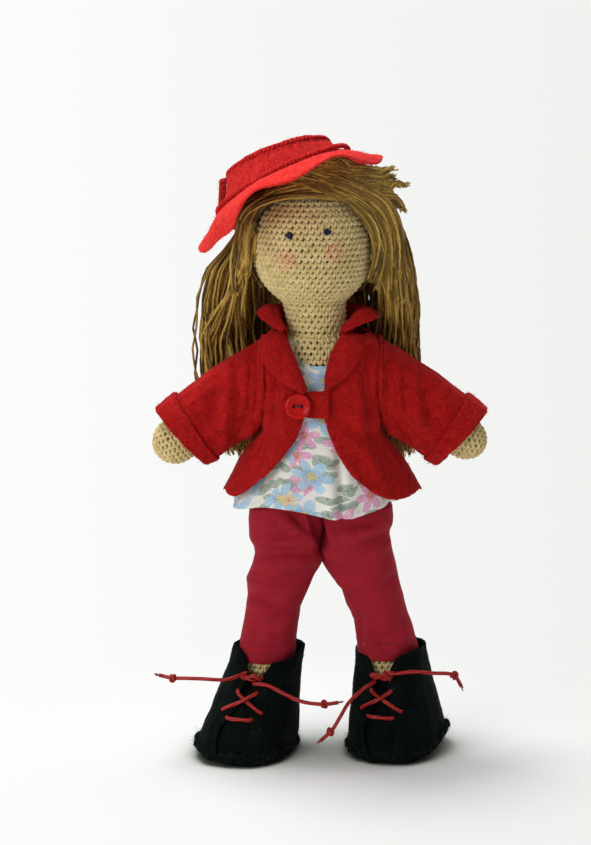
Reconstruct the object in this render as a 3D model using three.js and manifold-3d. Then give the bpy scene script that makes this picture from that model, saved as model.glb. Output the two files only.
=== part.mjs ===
// A crocheted doll in felt jacket and hat, floral blouse, trousers and laced suede boots.
// Millimetres, +Z up, the doll faces -Y. "left" and "right" are the doll's own: left is +X.
import * as THREE from "three";
import { mergeVertices } from "three/addons/utils/BufferGeometryUtils.js";
import Module from "manifold-3d";

const DEG = Math.PI / 180;

// Clearance, cloth thicknesses and cord
const GAP = 0.3;
const FELT = 1.3;
const COTTON = 0.6;
const SUEDE = 1.4;
const SOLE_THICK = 2;
const INSOLE_THICK = 1;
const CORD_R = 0.85;
const KNOT_R = 1.9;

// Heights above the floor, and where the limbs turn
const HIP_Z = 104;
const HIP_X = 15;
const SHOULDER_Z = 166.5;
const SHOULDER_X = 25.8;
const NECK_BASE_Z = 187.3;
const NECK_X = -1.6;

// Farther out than any piece reaches from the middle, for cutters
const REACH = 100;

// Colour and roughness of each stuff
const LOOKS = {
  crochet: [0xb8a070, 0.95],
  bead: [0x0a1030, 0.15],
  print: [0xd8dfe2, 0.9],
  trousers: [0x8c1224, 0.9],
  felt: [0xb01018, 0.95],
  button: [0xa80c10, 0.25],
  thread: [0x4a0810, 0.8],
  suede: [0x17171a, 0.95],
  card: [0x8a7355, 0.9],
  cord: [0xa01418, 0.6],
  yarn: [0x8a6a2a, 0.9],
};
// Trunk layers: [z, half width, front depth, back depth, squareness, centre x]
const TORSO = [
  [107, 25, 17, 17, 2.4, 0],
  [118, 24.2, 17, 17, 2.4, 0],
  [128, 23, 16.5, 16.3, 2.4, 0],
  [140, 22.5, 16.3, 16, 2.4, 0],
  [152, 22.6, 16.1, 15.7, 2.4, 0],
  [164, 22.6, 15.5, 15.1, 2.4, 0],
  [174, 22.3, 14.8, 14.5, 2.4, 0],
  [180, 21.3, 14, 13.8, 2.4, 0],
  [184, 18.5, 13, 13, 2.3, -0.6],
  [187, 13, 12.2, 12.2, 2.1, -1.5],
];

const BLOUSE = [
  [112, 35, 28.5, 26.5, 2.2, -1.5],
  [126, 31, 24.7, 23, 2.2, -0.8],
  [136, 27.2, 21.5, 20.2, 2.3, -0.3],
  [146, 24.4, 18.9, 18.2, 2.4, 0],
  [155, 23.8, 17.4, 17, 2.4, 0],
  [176, 23.2, 15.8, 15.5, 2.4, 0],
  [181, 21.9, 15, 14.8, 2.4, 0],
  [184.5, 19.2, 14.1, 14.1, 2.3, -0.6],
  [186.6, 14.9, 13.4, 13.4, 2.1, -1.5],
];

const JACKET = [
  [117, 45, 29, 27, 2.3, 0.5],
  [132, 36.5, 25.6, 24, 2.4, 0.2],
  [140, 30.5, 23.5, 22, 2.8, 0],
  [146.2, 25.9, 21.9, 20.5, 3.4, 0],
  [153, 25.8, 20.9, 19.7, 4, 0],
  [168, 25.8, 19.1, 18.2, 4, 0],
  [176, 25.8, 18.2, 17.4, 4, 0],
  [182, 25.6, 17.2, 16.6, 3.6, 0],
  [186, 24.6, 16.3, 15.9, 3.2, -0.3],
  [188.6, 21.6, 15.6, 15.3, 2.8, -1],
  [190, 17.2, 15, 14.8, 2.4, -1.8],
];
const SEAT = [
  [113.2, 28.4, 18.7, 18.7, 2.4, 0],
  [122, 27, 18.5, 18.4, 2.4, 0],
  [134, 24.4, 17.7, 17.5, 2.4, 0],
];
const TORSO_SIDES = 20;
const BLOUSE_SIDES = 21;
const JACKET_SIDES = 28;
// Head and neck: [z, radius, centre x]
const HEAD = [
  [NECK_BASE_Z, 11.8, NECK_X],
  [191, 11.9, -2],
  [196, 12.2, -2.6],
  [200.4, 12.6, -3.1],
  [202.5, 13.3, -3.4],
  [205, 15.8, -3.8],
  [208, 18.9, -3.9],
  [212, 21.9, -4],
  [218.7, 24.6, -4.3],
  [226, 25.7, -4.6],
  [233, 25.6, -4.8],
  [239, 24.6, -5],
  [246, 20.9, -5.2],
  [250, 16.8, -5.3],
  [253, 11, -5.4],
  [254.5, 5, -5.4],
];
const HEAD_SIDES = 18;
const EYE_R = 1.25;
const EYE_PROUD = 0.3;
const EYES = { right: [-13.4, 233], left: [1.6, 234.6] };
// Hair: an egg-shaped cap round its heart, a swept fringe and three hanging falls
const HAIR_HEART = [-4.8, 1, 229.5];
const HAIR_SIDE_R = 29.6;
const HAIR_TOP_R = 34.2;

// Falls: [z, centre x, centre y, half width, half depth]
const FALL_RIGHT = [
  [131, -37, 25, 6, 3.5],
  [145, -39.5, 24.6, 9.5, 5.6],
  [165, -42, 24.2, 11, 6.2],
  [185, -43, 23, 11, 6.2],
  [200, -42.6, 17, 10.5, 6.5],
  [215, -40, 11, 9, 6.5],
  [224, -36, 9, 5.5, 5],
];
const FALL_LEFT = [
  [131, 36.5, 25, 5.5, 3.5],
  [145, 35.2, 24.6, 8.5, 5.6],
  [165, 34, 24.2, 9.8, 6.2],
  [185, 33.5, 22.5, 10, 6.2],
  [200, 33, 16, 10, 6.5],
  [215, 31.5, 9, 9.5, 6.5],
  [230, 29, 4, 8, 6],
  [243, 26, 1, 5, 5],
];
const FALL_BACK = [
  [131, -1, 34, 23, 4],
  [150, -1.5, 33.5, 26.5, 5.8],
  [185, -3, 32.5, 27.5, 6],
  [203, -4, 32.5, 27, 6],
  [218, -5, 32.4, 22, 4.5],
  [227, -5.5, 33, 14, 2.8],
];
const FALL_SQUARE = 2.4;
const FALL_SIDES = 12;
const CAP_STEPS = 10;
const CAP_SIDES = 16;
const HAIRLINE = { slope: 0.4545, y: -2, z: 205 };
const NAPE_Z = 206;

// Fringe: [x, y, z, half width, half thickness]
const FRINGE = [
  [-28, -9, 238, 2.5, 1.6],
  [-21, -18, 245.4, 3.8, 2.2],
  [-10, -23, 250.2, 4.4, 2.6],
  [3, -24, 251.4, 4.8, 2.8],
  [14, -21.5, 250.6, 6, 3],
  [23, -15.5, 249.6, 7.6, 3.2],
  [30, -9.5, 248.8, 8, 3.2],
  [36, -5, 248.4, 6.8, 2.4],
];
const FRINGE_SIDES = 12;

// Hat: it leans to the doll's right and back, and its crown turns a little as it rises
const HAT_LEAN = 26 * DEG;
const HAT_BACK = 15 * DEG;
const HAT_EASE = -0.1;
const HAT_BASE = { centre: [-15.8, 0, 252], radius: HAIR_SIDE_R + HAT_EASE, lean: 27 * DEG, back: 14 * DEG };
const HAT_TOP = { centre: [-19, 3.5, 263.5], radius: 23.3, lean: 20 * DEG, back: 16 * DEG };
const BRIM_WIDTH = 16;
const BRIM_LIP = 2.2;
const BRIM_CURL = { share: 0.45, inner: 0.55, outer: 1.2 };
const BRIM_STEPS = 30;
const CROWN_SIDES = 24;
const CROWN_STEPS = [0, 0.5, 1];
const LAP_OUT = 3.6;
const LAP_SPAN = [0.2, 1];
// How far the brim bends down, in degrees, by the angle round the hat from the front
const BRIM_BEND = [
  [-180, 13], [-135, 22], [-100, 26], [-82, 56], [-65, 57], [-45, 54], [-28, 38], [0, 33],
  [20, 21], [40, 16], [60, 44], [85, 35], [110, 25], [140, 24], [180, 13],
];
// Sleeves and arms
const SLEEVE = {
  rootX: 26.1, rootHalf: 19.2, rootDepth: 14.4,
  cuffX: 61.8, cuffZ: 141.9, cuffHalf: 15.8, cuffDepth: 11.6,
  openAngle: 42.3 * DEG,
};
const CUFF_WIDTH = 8.8;
const CUFF_OUT = GAP + FELT;
const SLEEVE_SIDES = 14;
const SLEEVE_STEPS = [0, 0.25, 0.5, 0.75, 1];
const SLEEVE_SQUARE = 2.3;
const ARM = {
  rootX: 14, rootZ: 173, handX: 64.6, handZ: 139.4,
  radii: [[0, 9.2], [0.3, 8.9], [0.55, 8.1], [0.78, 7.7], [0.88, 8.5], [1, 9.4]],
};
const ARM_SIDES = 14;
const HAND_R = 9.4;
const HAND_LATITUDES = [25, 50, 72];
// Legs and trouser legs: [z, centre x, centre y, half width, half depth, squareness]
const LEG_WEAR = {
  left: [
    [42.5, 30.2, 3, 11.6, 11, 2.2],
    [49, 29.7, 2.6, 11.9, 11.5, 2.2],
    [59, 24.8, 1.6, 13, 12.6, 2.2],
    [70, 21.2, 0.8, 13.3, 13.2, 2.3],
    [80, 17.6, 0.4, 13.9, 14.2, 2.4],
    [87.5, 15.6, 0, 14.9, 15, 2.6],
    [97, 15.3, 0, 14.9, 15.8, 3],
    [104, 15.2, 0, 14.8, 16, 3],
    [111.5, 15, 0, 14.6, 16.15, 3],
  ],
  right: [
    [42.5, -22.8, 2.2, 11.7, 11, 2.2],
    [49, -22.6, 2, 12, 11.6, 2.2],
    [59, -20.6, 1.2, 12.5, 12.4, 2.2],
    [70, -18.6, 0, 14.2, 13.6, 2.2],
    [80, -16.2, 0.2, 14.3, 14.4, 2.4],
    [87.5, -15, 0, 14.6, 15, 2.6],
    [97, -15.2, 0, 14.8, 15.8, 3],
    [104, -15.2, 0, 14.8, 16, 3],
    [111.5, -15, 0, 14.6, 16.15, 3],
  ],
};
const HIP_DOME = 17.9;
const HIP_CUT = HIP_DOME + GAP;
const HIP_CUT_SIDES = 32;
const LEG_SIDES = 14;

// Stuffed leg inside its trouser leg, and the rounded top of the thigh as heights above the hip
const LEG_SLIM = 2.2;
const CALF = { half: 11.2, depth: 12 };
const THIGH_TOP = [[7.6, 2, 0.86, 2.6], [10, 2.2, 1, 3], [13.5, 2.62, 1, 3], [16.3, 2.96, 1, 3]];
const STUFFED_SIDES = 12;

// Foot inside its boot: [z, half width, front, back]
const FOOT = [[4, 13.5, 20, 16], [9, 14, 19, 16.4], [16, 13, 15.5, 15], [25, 11.2, 11.2, 12]];
const FOOT_SQUARE = 2.2;
// Boots, in their own frame with the toe at -Y: [z, half width, front, back, squareness]
const BOOT_WALL = [
  [2.4, 22.3, 27.7, 27.1, 2.3],
  [4.6, 21.1, 26.3, 25.7, 2.3],
  [7.5, 20.9, 25.7, 25.2, 2.3],
  [14, 20.2, 23.8, 24, 2.3],
  [24, 18.6, 19.9, 21.4, 2.3],
  [34, 17, 16.8, 18.6, 2.3],
  [40, 16.2, 15.4, 16.8, 2.3],
  [47.2, 15.9, 14.6, 15.6, 2.3],
];
const BOOT_TOP_Z = BOOT_WALL[BOOT_WALL.length - 1][0];
const TONGUE_TOP_Z = 39.5;
const BOOTS = {
  left: { sole: [34.5, -1.4], yaw: -20 * DEG, rim: [31.2, 3.6] },
  right: { sole: [-33.4, -5.4], yaw: -19 * DEG, rim: [-23, 2.6] },
};
const SOLE_EDGE = { half: 22.6, front: 28, back: 27.4, square: 2.3 };
const SOLE_SIDES = 24;
const INSOLE_IN = 5.4;
const TONGUE_HALF_ANGLE = 0.9;
const TONGUE_STEPS = 8;
const QUARTER_OPEN = { low: 2.6, top: 6.4, fromZ: 38 };
const BOOT_SIDES = 16;
// Laces: each run's ends, half width and height on the boot
const BAR = { x: 6, z: 19.6 };
const CROSS_LOW = { x: 9.4, z: 22 };
const CROSS_TOP = { x: 4.8, z: 30.4 };
const TIE = { x: 4.8, z: 36.4 };
const CROSSING = CROSS_LOW.x / (CROSS_LOW.x + CROSS_TOP.x);
const CORD_SIDES = 8;
const CORD_HOLE = 2.4 * GAP;
const RUN_STEPS = 9;
const LACE_SUNK = -0.55;
const LACE_OVER = 2 * CORD_R + 0.9;
const TIE_RISE = 0.9;

// Free lace ends: chosen by hand, out from the tie to the cut end past the knot
const FREE_ENDS = {
  left: {
    out: [[33, -19, 39.2], [40, -20.4, 40.4], [49, -20.6, 39.8], [58.2, -20, 38.7], [61.6, -19.8, 33.6]],
    in: [[18, -21.8, 32.6], [12, -26, 28], [8, -28.6, 22], [4.8, -30, 17], [-0.6, -31, 12]],
  },
  right: {
    out: [[-42, -20.6, 36.9], [-52, -20.6, 37.2], [-60, -19.6, 37.2], [-65.4, -18.6, 37], [-71.6, -18, 38.2]],
    in: [[-23.5, -22.2, 34.6], [-17, -25, 32], [-9, -28.2, 29.2], [1, -30, 28.4], [7.4, -30, 29.2]],
  },
};
const KNOT_AT = 0.85;
const TIE_LEAVE = { x: 2, z: 2 * CORD_R + GAP + 0.1, off: 2 };
const FREE_STEPS = 13;

// Blouse: scooped at the neck, with soft folds at the hem
const FOLD_IN = 1.7;
const FOLD_COUNT = 7;
const FOLD_FROM_Z = 136;
const FOLD_FULL = 24;
const HEM_WAVE = 1.6;
const HEM_WAVES = 4;
const HEM_ABOVE = 3;
const NECK_SCOOP = { x: -2.4, z: 188.5, half: 13, high: 13 };
const BLOUSE_ARMHOLE_R = 12.3;
const BLOUSE_ARMHOLE_FROM = 15;

// Jacket: the fronts' inner edges as [x, z], the armholes and the side slits
const ARMHOLE = { halfDepth: 12.9, halfHeight: 17.7, from: 20 };
const SIDE_SLIT = { top: 134, open: 1.4 };
const FRONT_BACK_Y = 20;
const FRONT_RIGHT = [
  [-12.6, 191], [-9.4, 178], [-6.9, 167], [-6.8, 158], [-8.2, 150.5], [-13, 141.5],
  [-20, 132.5], [-28.5, 124.6], [-36, 119], [-40.5, 117.8], [-44.6, 120.5], [-47, 124],
];
const FRONT_LEFT = [
  [8.6, 191], [4.2, 180], [0.9, 168], [0.6, 156], [2.2, 148], [6.6, 138.4],
  [12.6, 129.6], [20, 122.6], [27.5, 118.6], [33, 117.6], [40, 118.6], [48, 121],
];
const LAPEL_RIGHT = [
  [-14.6, 189.6], [-11, 179.6], [-7.4, 169], [-8.6, 166.8], [-13.6, 170.2],
  [-18.8, 176], [-21.6, 182.4], [-21.4, 187.2],
];
const LAPEL_LEFT = [
  [9.4, 189.8], [5, 180.4], [1.6, 172], [1.8, 168.6], [6, 171], [11.2, 176.6], [14.8, 182.8], [16.2, 188],
];
const LAPEL_BACK_Y = -3;
const BUTTON = { x: -10.3, z: 159, tilt: 6.9 * DEG };

// Button, turned about its own axis: [radius, height]
const BUTTON_PROFILE = [
  [0, 0], [4.9, 0], [5.7, 0.8], [5.7, 1.7], [5.3, 2.4], [4.5, 2.6], [3.8, 1.9], [0, 1.9],
];
const BUTTON_SIDES = 24;
const HOLE_X = 1.5;
const THREAD_R = 0.5;
const THREAD_SIDES = 6;
const LOOP = [
  [0.3, 165.6], [-6, 165], [-11.5, 164.2], [-15.4, 160.6],
  [-15.4, 157.2], [-11.5, 154.2], [-6, 153.8], [0.3, 153.6],
];
const LOOP_HOLE = [
  [-3.2, 159.4], [-6.6, 161.4], [-12, 161], [-13, 159], [-12, 156.8], [-6.6, 156.6], [-3.2, 158.4],
];

// Collar: [out, z] from its root up and over
const COLLAR_ROOT = { half: 16, depth: 13.6, x: -1.8, square: 2.2 };
const COLLAR_PROFILE = [[0, 190.5], [0.5, 194.8], [2.8, 198.6], [6.2, 199.4], [9.4, 195.8]];
const COLLAR_FROM = 50 * DEG;
const COLLAR_STEPS = 22;

const SIDES = [["left", 1], ["right", -1]];

// Solids for cutting and joining
const wasm = await Module();
wasm.setup();
const { Manifold, Mesh } = wasm;
function lerp(a, b, t) {
  return a + (b - a) * t;
}

function rowAt(table, z) {
  const last = table.length - 1;
  if (z <= table[0][0]) return table[0].slice(1);
  if (z >= table[last][0]) return table[last].slice(1);
  let k = 0;
  while (table[k + 1][0] < z) k += 1;
  const t = (z - table[k][0]) / (table[k + 1][0] - table[k][0]);
  return table[k].slice(1).map((v, i) => lerp(v, table[k + 1][i + 1], t));
}

function superCos(t, e) {
  return Math.sign(Math.cos(t)) * Math.abs(Math.cos(t)) ** (2 / e);
}

function superSin(t, e) {
  return Math.sign(Math.sin(t)) * Math.abs(Math.sin(t)) ** (2 / e);
}

function signedVolume(points, faces) {
  let sum = 0;
  for (const [a, b, c] of faces) {
    const [p, q, r] = [points[a], points[b], points[c]];
    sum += p[0] * (q[1] * r[2] - q[2] * r[1])
      - p[1] * (q[0] * r[2] - q[2] * r[0])
      + p[2] * (q[0] * r[1] - q[1] * r[0]);
  }
  return sum / 6;
}
// A closed geometry as a solid, faces outwards
function solidOf(geometry) {
  const bare = geometry.clone();
  bare.deleteAttribute("normal");
  bare.deleteAttribute("uv");
  const merged = mergeVertices(bare, 1e-4);
  const position = merged.getAttribute("position");
  const points = [];
  for (let i = 0; i < position.count; i += 1) {
    points.push(new THREE.Vector3().fromBufferAttribute(position, i).toArray());
  }
  const index = merged.getIndex().array;
  const faces = [];
  for (let i = 0; i < index.length; i += 3) {
    const face = [index[i], index[i + 1], index[i + 2]];
    if (new Set(face).size === 3) faces.push(face);
  }
  const outward = signedVolume(points, faces) > 0 ? faces : faces.map(([a, b, c]) => [a, c, b]);
  return new Manifold(new Mesh({
    numProp: 3,
    vertProperties: new Float32Array(points.flat()),
    triVerts: new Uint32Array(outward.flat()),
  }));
}

function solidFrom(points, faces) {
  const geometry = new THREE.BufferGeometry();
  geometry.setAttribute("position", new THREE.Float32BufferAttribute(points.flat(), 3));
  geometry.setIndex(faces.flat());
  return solidOf(geometry);
}
function sideFaces(rows, n, base, closed) {
  const faces = [];
  const cols = closed ? n : n - 1;
  for (let r = 0; r < rows - 1; r += 1) {
    for (let i = 0; i < cols; i += 1) {
      const j = (i + 1) % n;
      const a = base + r * n + i;
      const b = base + r * n + j;
      faces.push([a, b, b + n], [a, b + n, a + n]);
    }
  }
  return faces;
}

// A solid skinned over closed rings, capped at both ends
function loft(rings) {
  const n = rings[0].length;
  const points = rings.flat();
  const faces = sideFaces(rings.length, n, 0, true);
  for (const end of [0, rings.length - 1]) {
    const ring = rings[end];
    const centre = [0, 1, 2].map((k) => ring.reduce((s, p) => s + p[k], 0) / n);
    const hub = points.length;
    points.push(centre);
    for (let i = 0; i < n; i += 1) {
      const a = end * n + i;
      const b = end * n + ((i + 1) % n);
      faces.push(end === 0 ? [hub, b, a] : [hub, a, b]);
    }
  }
  return solidFrom(points, faces);
}

// A tube of cloth, open at both ends, between an outer and an inner skin
function tube(outer, inner) {
  const n = outer[0].length;
  const rows = outer.length;
  const count = rows * n;
  const points = [...outer.flat(), ...inner.flat()];
  const faces = sideFaces(rows, n, 0, true);
  for (const [a, b, c] of sideFaces(rows, n, count, true)) faces.push([a, c, b]);
  for (const end of [0, rows - 1]) {
    for (let i = 0; i < n; i += 1) {
      const a = end * n + i;
      const b = end * n + ((i + 1) % n);
      const quad = [[a, b, count + b], [a, count + b, count + a]];
      faces.push(...(end === 0 ? quad.map(([p, q, r]) => [p, r, q]) : quad));
    }
  }
  return solidFrom(points, faces);
}

// A bent sheet between two matching grids of points
function sheet(outer, inner) {
  const n = outer[0].length;
  const rows = outer.length;
  const count = rows * n;
  const points = [...outer.flat(), ...inner.flat()];
  const faces = sideFaces(rows, n, 0, false);
  for (const [a, b, c] of sideFaces(rows, n, count, false)) faces.push([a, c, b]);
  const rim = [];
  for (let i = 0; i < n - 1; i += 1) rim.push(i);
  for (let r = 0; r < rows - 1; r += 1) rim.push(r * n + n - 1);
  for (let i = n - 1; i > 0; i -= 1) rim.push((rows - 1) * n + i);
  for (let r = rows - 1; r > 0; r -= 1) rim.push(r * n);
  rim.forEach((a, i) => {
    const b = rim[(i + 1) % rim.length];
    faces.push([a, count + b, b], [a, count + a, count + b]);
  });
  return solidFrom(points, faces);
}

// A closed ring of cross-sections, joined end to end
function hoop(sections) {
  const n = sections[0].length;
  const points = sections.flat();
  const faces = [];
  sections.forEach((_, s) => {
    const next = (s + 1) % sections.length;
    for (let i = 0; i < n; i += 1) {
      const j = (i + 1) % n;
      const [a, b] = [s * n + i, s * n + j];
      const [c, d] = [next * n + i, next * n + j];
      faces.push([a, b, d], [a, d, c]);
    }
  });
  return solidFrom(points, faces);
}
function smoothRoute(points) {
  return new THREE.CatmullRomCurve3(points.map((p) => new THREE.Vector3(...p)), false, "centripetal");
}

// A cord of round section along a route
function cordSolid(points, radius, steps, sides = CORD_SIDES) {
  const section = new THREE.Shape().absarc(0, 0, radius, 0, 2 * Math.PI);
  return solidOf(new THREE.ExtrudeGeometry(section, {
    steps,
    curveSegments: sides / 2,
    bevelEnabled: false,
    extrudePath: smoothRoute(points),
  }));
}

// An overhand knot drawn tight, part of the way along a route
function knotSolid(points, at) {
  const spot = smoothRoute(points).getPointAt(at);
  return solidOf(new THREE.IcosahedronGeometry(KNOT_R, 1).translate(spot.x, spot.y, spot.z));
}

function smoothLine(points, count) {
  return new THREE.SplineCurve(points.map(([x, z]) => new THREE.Vector2(x, z))).getPoints(count);
}

// An outline in the X-Z plane, pushed through from yFront to yBack
function prism(outline, yFront, yBack) {
  const depth = yBack - yFront;
  const pushed = new THREE.ExtrudeGeometry(new THREE.Shape(outline), { depth, bevelEnabled: false });
  return solidOf(pushed.rotateX(Math.PI / 2).translate(0, yBack, 0));
}

// A rod of elliptical section along X
function rodX(x0, x1, z, halfDepth, halfHeight, sides) {
  const rod = new THREE.CylinderGeometry(1, 1, x1 - x0, sides).rotateZ(Math.PI / 2);
  return solidOf(rod.scale(1, halfDepth, halfHeight).translate((x0 + x1) / 2, 0, z));
}

// The part of an X range that lies on one side, outside a distance from the middle
function outward(sign, from) {
  return sign > 0 ? [from, REACH] : [-REACH, -from];
}

// The biggest body that is left after a cut
function largest(solid) {
  return solid.decompose().reduce((a, b) => (b.volume() > a.volume() ? b : a));
}

// The doll, with one group for each part that moves, hung at its pivot
const doll = new THREE.Group();

function hung(parent, pivot) {
  const group = new THREE.Group();
  parent.add(group);
  group.position.copy(parent.worldToLocal(new THREE.Vector3(...pivot)));
  group.updateWorldMatrix(true, false);
  return group;
}

// A piece is shaped in the doll's frame and kept in its group's
function add(group, name, solid, look) {
  const mesh = solid.simplify(0.01).getMesh();
  const geometry = new THREE.BufferGeometry();
  geometry.setAttribute("position", new THREE.BufferAttribute(Float32Array.from(mesh.vertProperties), 3));
  geometry.setIndex(new THREE.BufferAttribute(Uint32Array.from(mesh.triVerts), 1));
  geometry.applyMatrix4(group.matrixWorld.clone().invert());
  const [color, roughness] = LOOKS[look];
  const node = new THREE.Mesh(geometry, new THREE.MeshStandardMaterial({ color, roughness, metalness: 0 }));
  node.name = name;
  group.add(node);
}
// Shapes of the trunk and its clothes

function trunkPoint(table, z, angle, grow, drop = 0) {
  const [a, front, back, e, cx] = rowAt(table, z);
  const depth = Math.cos(angle) > 0 ? front : back;
  return [cx + (a + grow) * superSin(angle, e), -(depth + grow) * superCos(angle, e), z - drop];
}

function trunkRings(table, grow, sides, fold = () => [0, 0]) {
  return table.map(([z]) => {
    const ring = [];
    for (let i = 0; i < sides; i += 1) {
      const angle = (2 * Math.PI * i) / sides;
      const [inward, drop] = fold(z, angle);
      ring.push(trunkPoint(table, z, angle, grow - inward, drop));
    }
    return ring;
  });
}
function headSolid(grow) {
  return loft(HEAD.map(([z, r, cx], k) => {
    const lift = k === 0 ? -grow : (k === HEAD.length - 1 ? grow : 0);
    const ring = [];
    for (let i = 0; i < HEAD_SIDES; i += 1) {
      const angle = (2 * Math.PI * i) / HEAD_SIDES;
      ring.push([cx + (r + grow) * Math.sin(angle), -(r + grow) * Math.cos(angle), z + lift]);
    }
    return ring;
  }));
}

function eyeCentre([x, z]) {
  const [r, cx] = rowAt(HEAD, z);
  return [x, -Math.sqrt(r * r - (x - cx) ** 2) - EYE_PROUD, z];
}
function leaningFrame(lean, back) {
  const right = new THREE.Vector3(Math.cos(lean), 0, Math.sin(lean));
  const flat = Math.cos(back);
  const up = new THREE.Vector3(-Math.sin(lean) * flat, Math.sin(back), Math.cos(lean) * flat);
  const rear = up.clone().cross(right);
  return { right, up, front: rear.negate() };
}

const HAT = leaningFrame(HAT_LEAN, HAT_BACK);

function hatPoint(frame, centre, angle, radius, height) {
  return new THREE.Vector3(...centre)
    .addScaledVector(frame.right, radius * Math.sin(angle))
    .addScaledVector(frame.front, radius * Math.cos(angle))
    .addScaledVector(frame.up, height)
    .toArray();
}

function discRing({ centre, radius, lean, back }, grow, height, sides) {
  const frame = leaningFrame(lean, back);
  const ring = [];
  for (let i = 0; i < sides; i += 1) {
    ring.push(hatPoint(frame, centre, (2 * Math.PI * i) / sides, radius + grow, height));
  }
  return ring;
}

function brimSolid(grow) {
  const sections = [];
  const start = HAT_BASE.radius + GAP;
  for (let s = 0; s < BRIM_STEPS; s += 1) {
    const degrees = -180 + (360 * s) / BRIM_STEPS;
    const bend = rowAt(BRIM_BEND, degrees)[0] * DEG;
    const easy = bend * BRIM_CURL.inner;
    const steep = bend * BRIM_CURL.outer;
    const t = FELT;
    const half = BRIM_CURL.share * BRIM_WIDTH;
    const mid = [start + t + half * Math.cos(easy), -half * Math.sin(easy)];
    const rest = BRIM_WIDTH / 2;
    const tip = [mid[0] + rest * Math.cos(steep), mid[1] - rest * Math.sin(steep)];
    const profile = [
      [start - grow, BRIM_LIP + grow],
      [start + t + grow, BRIM_LIP + grow],
      [start + t + grow, t * 0.5 + grow],
      [mid[0], mid[1] + t * 0.5 + grow],
      [tip[0] + grow, tip[1] + t * 0.5 + grow],
      [tip[0] + grow - t * Math.sin(bend) * 0.6, tip[1] - t * 0.5 - grow],
      [mid[0] - t * Math.sin(easy), mid[1] - t * 0.5 - grow],
      [start - grow, -t * 0.5 - grow],
    ];
    sections.push(profile.map(([r, h]) => hatPoint(HAT, HAT_BASE.centre, degrees * DEG, r, h)));
  }
  return hoop(sections);
}
// A station of the crown between its base and its top
function crownAt(t) {
  return {
    centre: [0, 1, 2].map((k) => lerp(HAT_BASE.centre[k], HAT_TOP.centre[k], t)),
    radius: lerp(HAT_BASE.radius, HAT_TOP.radius, t),
    lean: lerp(HAT_BASE.lean, HAT_TOP.lean, t),
    back: lerp(HAT_BASE.back, HAT_TOP.back, t),
  };
}

function lapRing(t) {
  const { centre, radius, lean, back } = crownAt(t);
  const frame = leaningFrame(lean, back);
  return [[GAP, -FELT], [LAP_OUT, -FELT], [LAP_OUT, FELT], [GAP, FELT]].map(([out, across]) => {
    const p = new THREE.Vector3(...hatPoint(frame, centre, -Math.PI / 2, radius + out, 0));
    return p.addScaledVector(frame.front, across).toArray();
  });
}
function fallSolid(table, grow) {
  return loft(table.map(([z, cx, cy, a, b], k) => {
    const lift = k === 0 ? -grow : (k === table.length - 1 ? grow : 0);
    const ring = [];
    for (let i = 0; i < FALL_SIDES; i += 1) {
      const angle = (2 * Math.PI * i) / FALL_SIDES;
      const x = cx + (a + grow) * superSin(angle, FALL_SQUARE);
      ring.push([x, cy - (b + grow) * superCos(angle, FALL_SQUARE), z + lift]);
    }
    return ring;
  }));
}

function capSolid(grow) {
  const rings = [];
  for (let s = 1; s < CAP_STEPS; s += 1) {
    const polar = (Math.PI * s) / CAP_STEPS;
    const ring = [];
    for (let i = 0; i < CAP_SIDES; i += 1) {
      const angle = (2 * Math.PI * i) / CAP_SIDES;
      const radius = (HAIR_SIDE_R + grow) * Math.sin(polar);
      const height = -(HAIR_TOP_R + grow) * Math.cos(polar);
      ring.push(hatPoint(HAT, HAIR_HEART, angle, radius, height));
    }
    rings.push(ring);
  }
  return loft(rings);
}
function fringeSolid() {
  const heart = new THREE.Vector3(...HAIR_HEART);
  return loft(FRINGE.map(([x, y, z, w, d], k) => {
    const p = new THREE.Vector3(x, y, z);
    const a = new THREE.Vector3(...FRINGE[Math.max(0, k - 1)].slice(0, 3));
    const b = new THREE.Vector3(...FRINGE[Math.min(FRINGE.length - 1, k + 1)].slice(0, 3));
    const along = b.sub(a).normalize();
    const out = p.clone().sub(heart);
    out.addScaledVector(along, -out.dot(along)).normalize();
    const wide = along.clone().cross(out);
    const ring = [];
    for (let i = 0; i < FRINGE_SIDES; i += 1) {
      const angle = (2 * Math.PI * i) / FRINGE_SIDES;
      const spot = p.clone().addScaledVector(wide, w * Math.cos(angle));
      ring.push(spot.addScaledVector(out, d * Math.sin(angle)).toArray());
    }
    return ring;
  }));
}
function sleeveRing(side, t, grow) {
  const angle = SLEEVE.openAngle * t;
  const up = [side * Math.sin(angle), Math.cos(angle)];
  const cx = side * lerp(SLEEVE.rootX, SLEEVE.cuffX, t);
  const cz = lerp(SHOULDER_Z, SLEEVE.cuffZ, t);
  const half = lerp(SLEEVE.rootHalf, SLEEVE.cuffHalf, t) + grow;
  const depth = lerp(SLEEVE.rootDepth, SLEEVE.cuffDepth, t) + grow;
  const ring = [];
  for (let i = 0; i < SLEEVE_SIDES; i += 1) {
    const a = (2 * Math.PI * i) / SLEEVE_SIDES;
    const h = half * superCos(a, SLEEVE_SQUARE);
    ring.push([cx + up[0] * h, -depth * superSin(a, SLEEVE_SQUARE), cz + up[1] * h]);
  }
  return ring;
}
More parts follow.
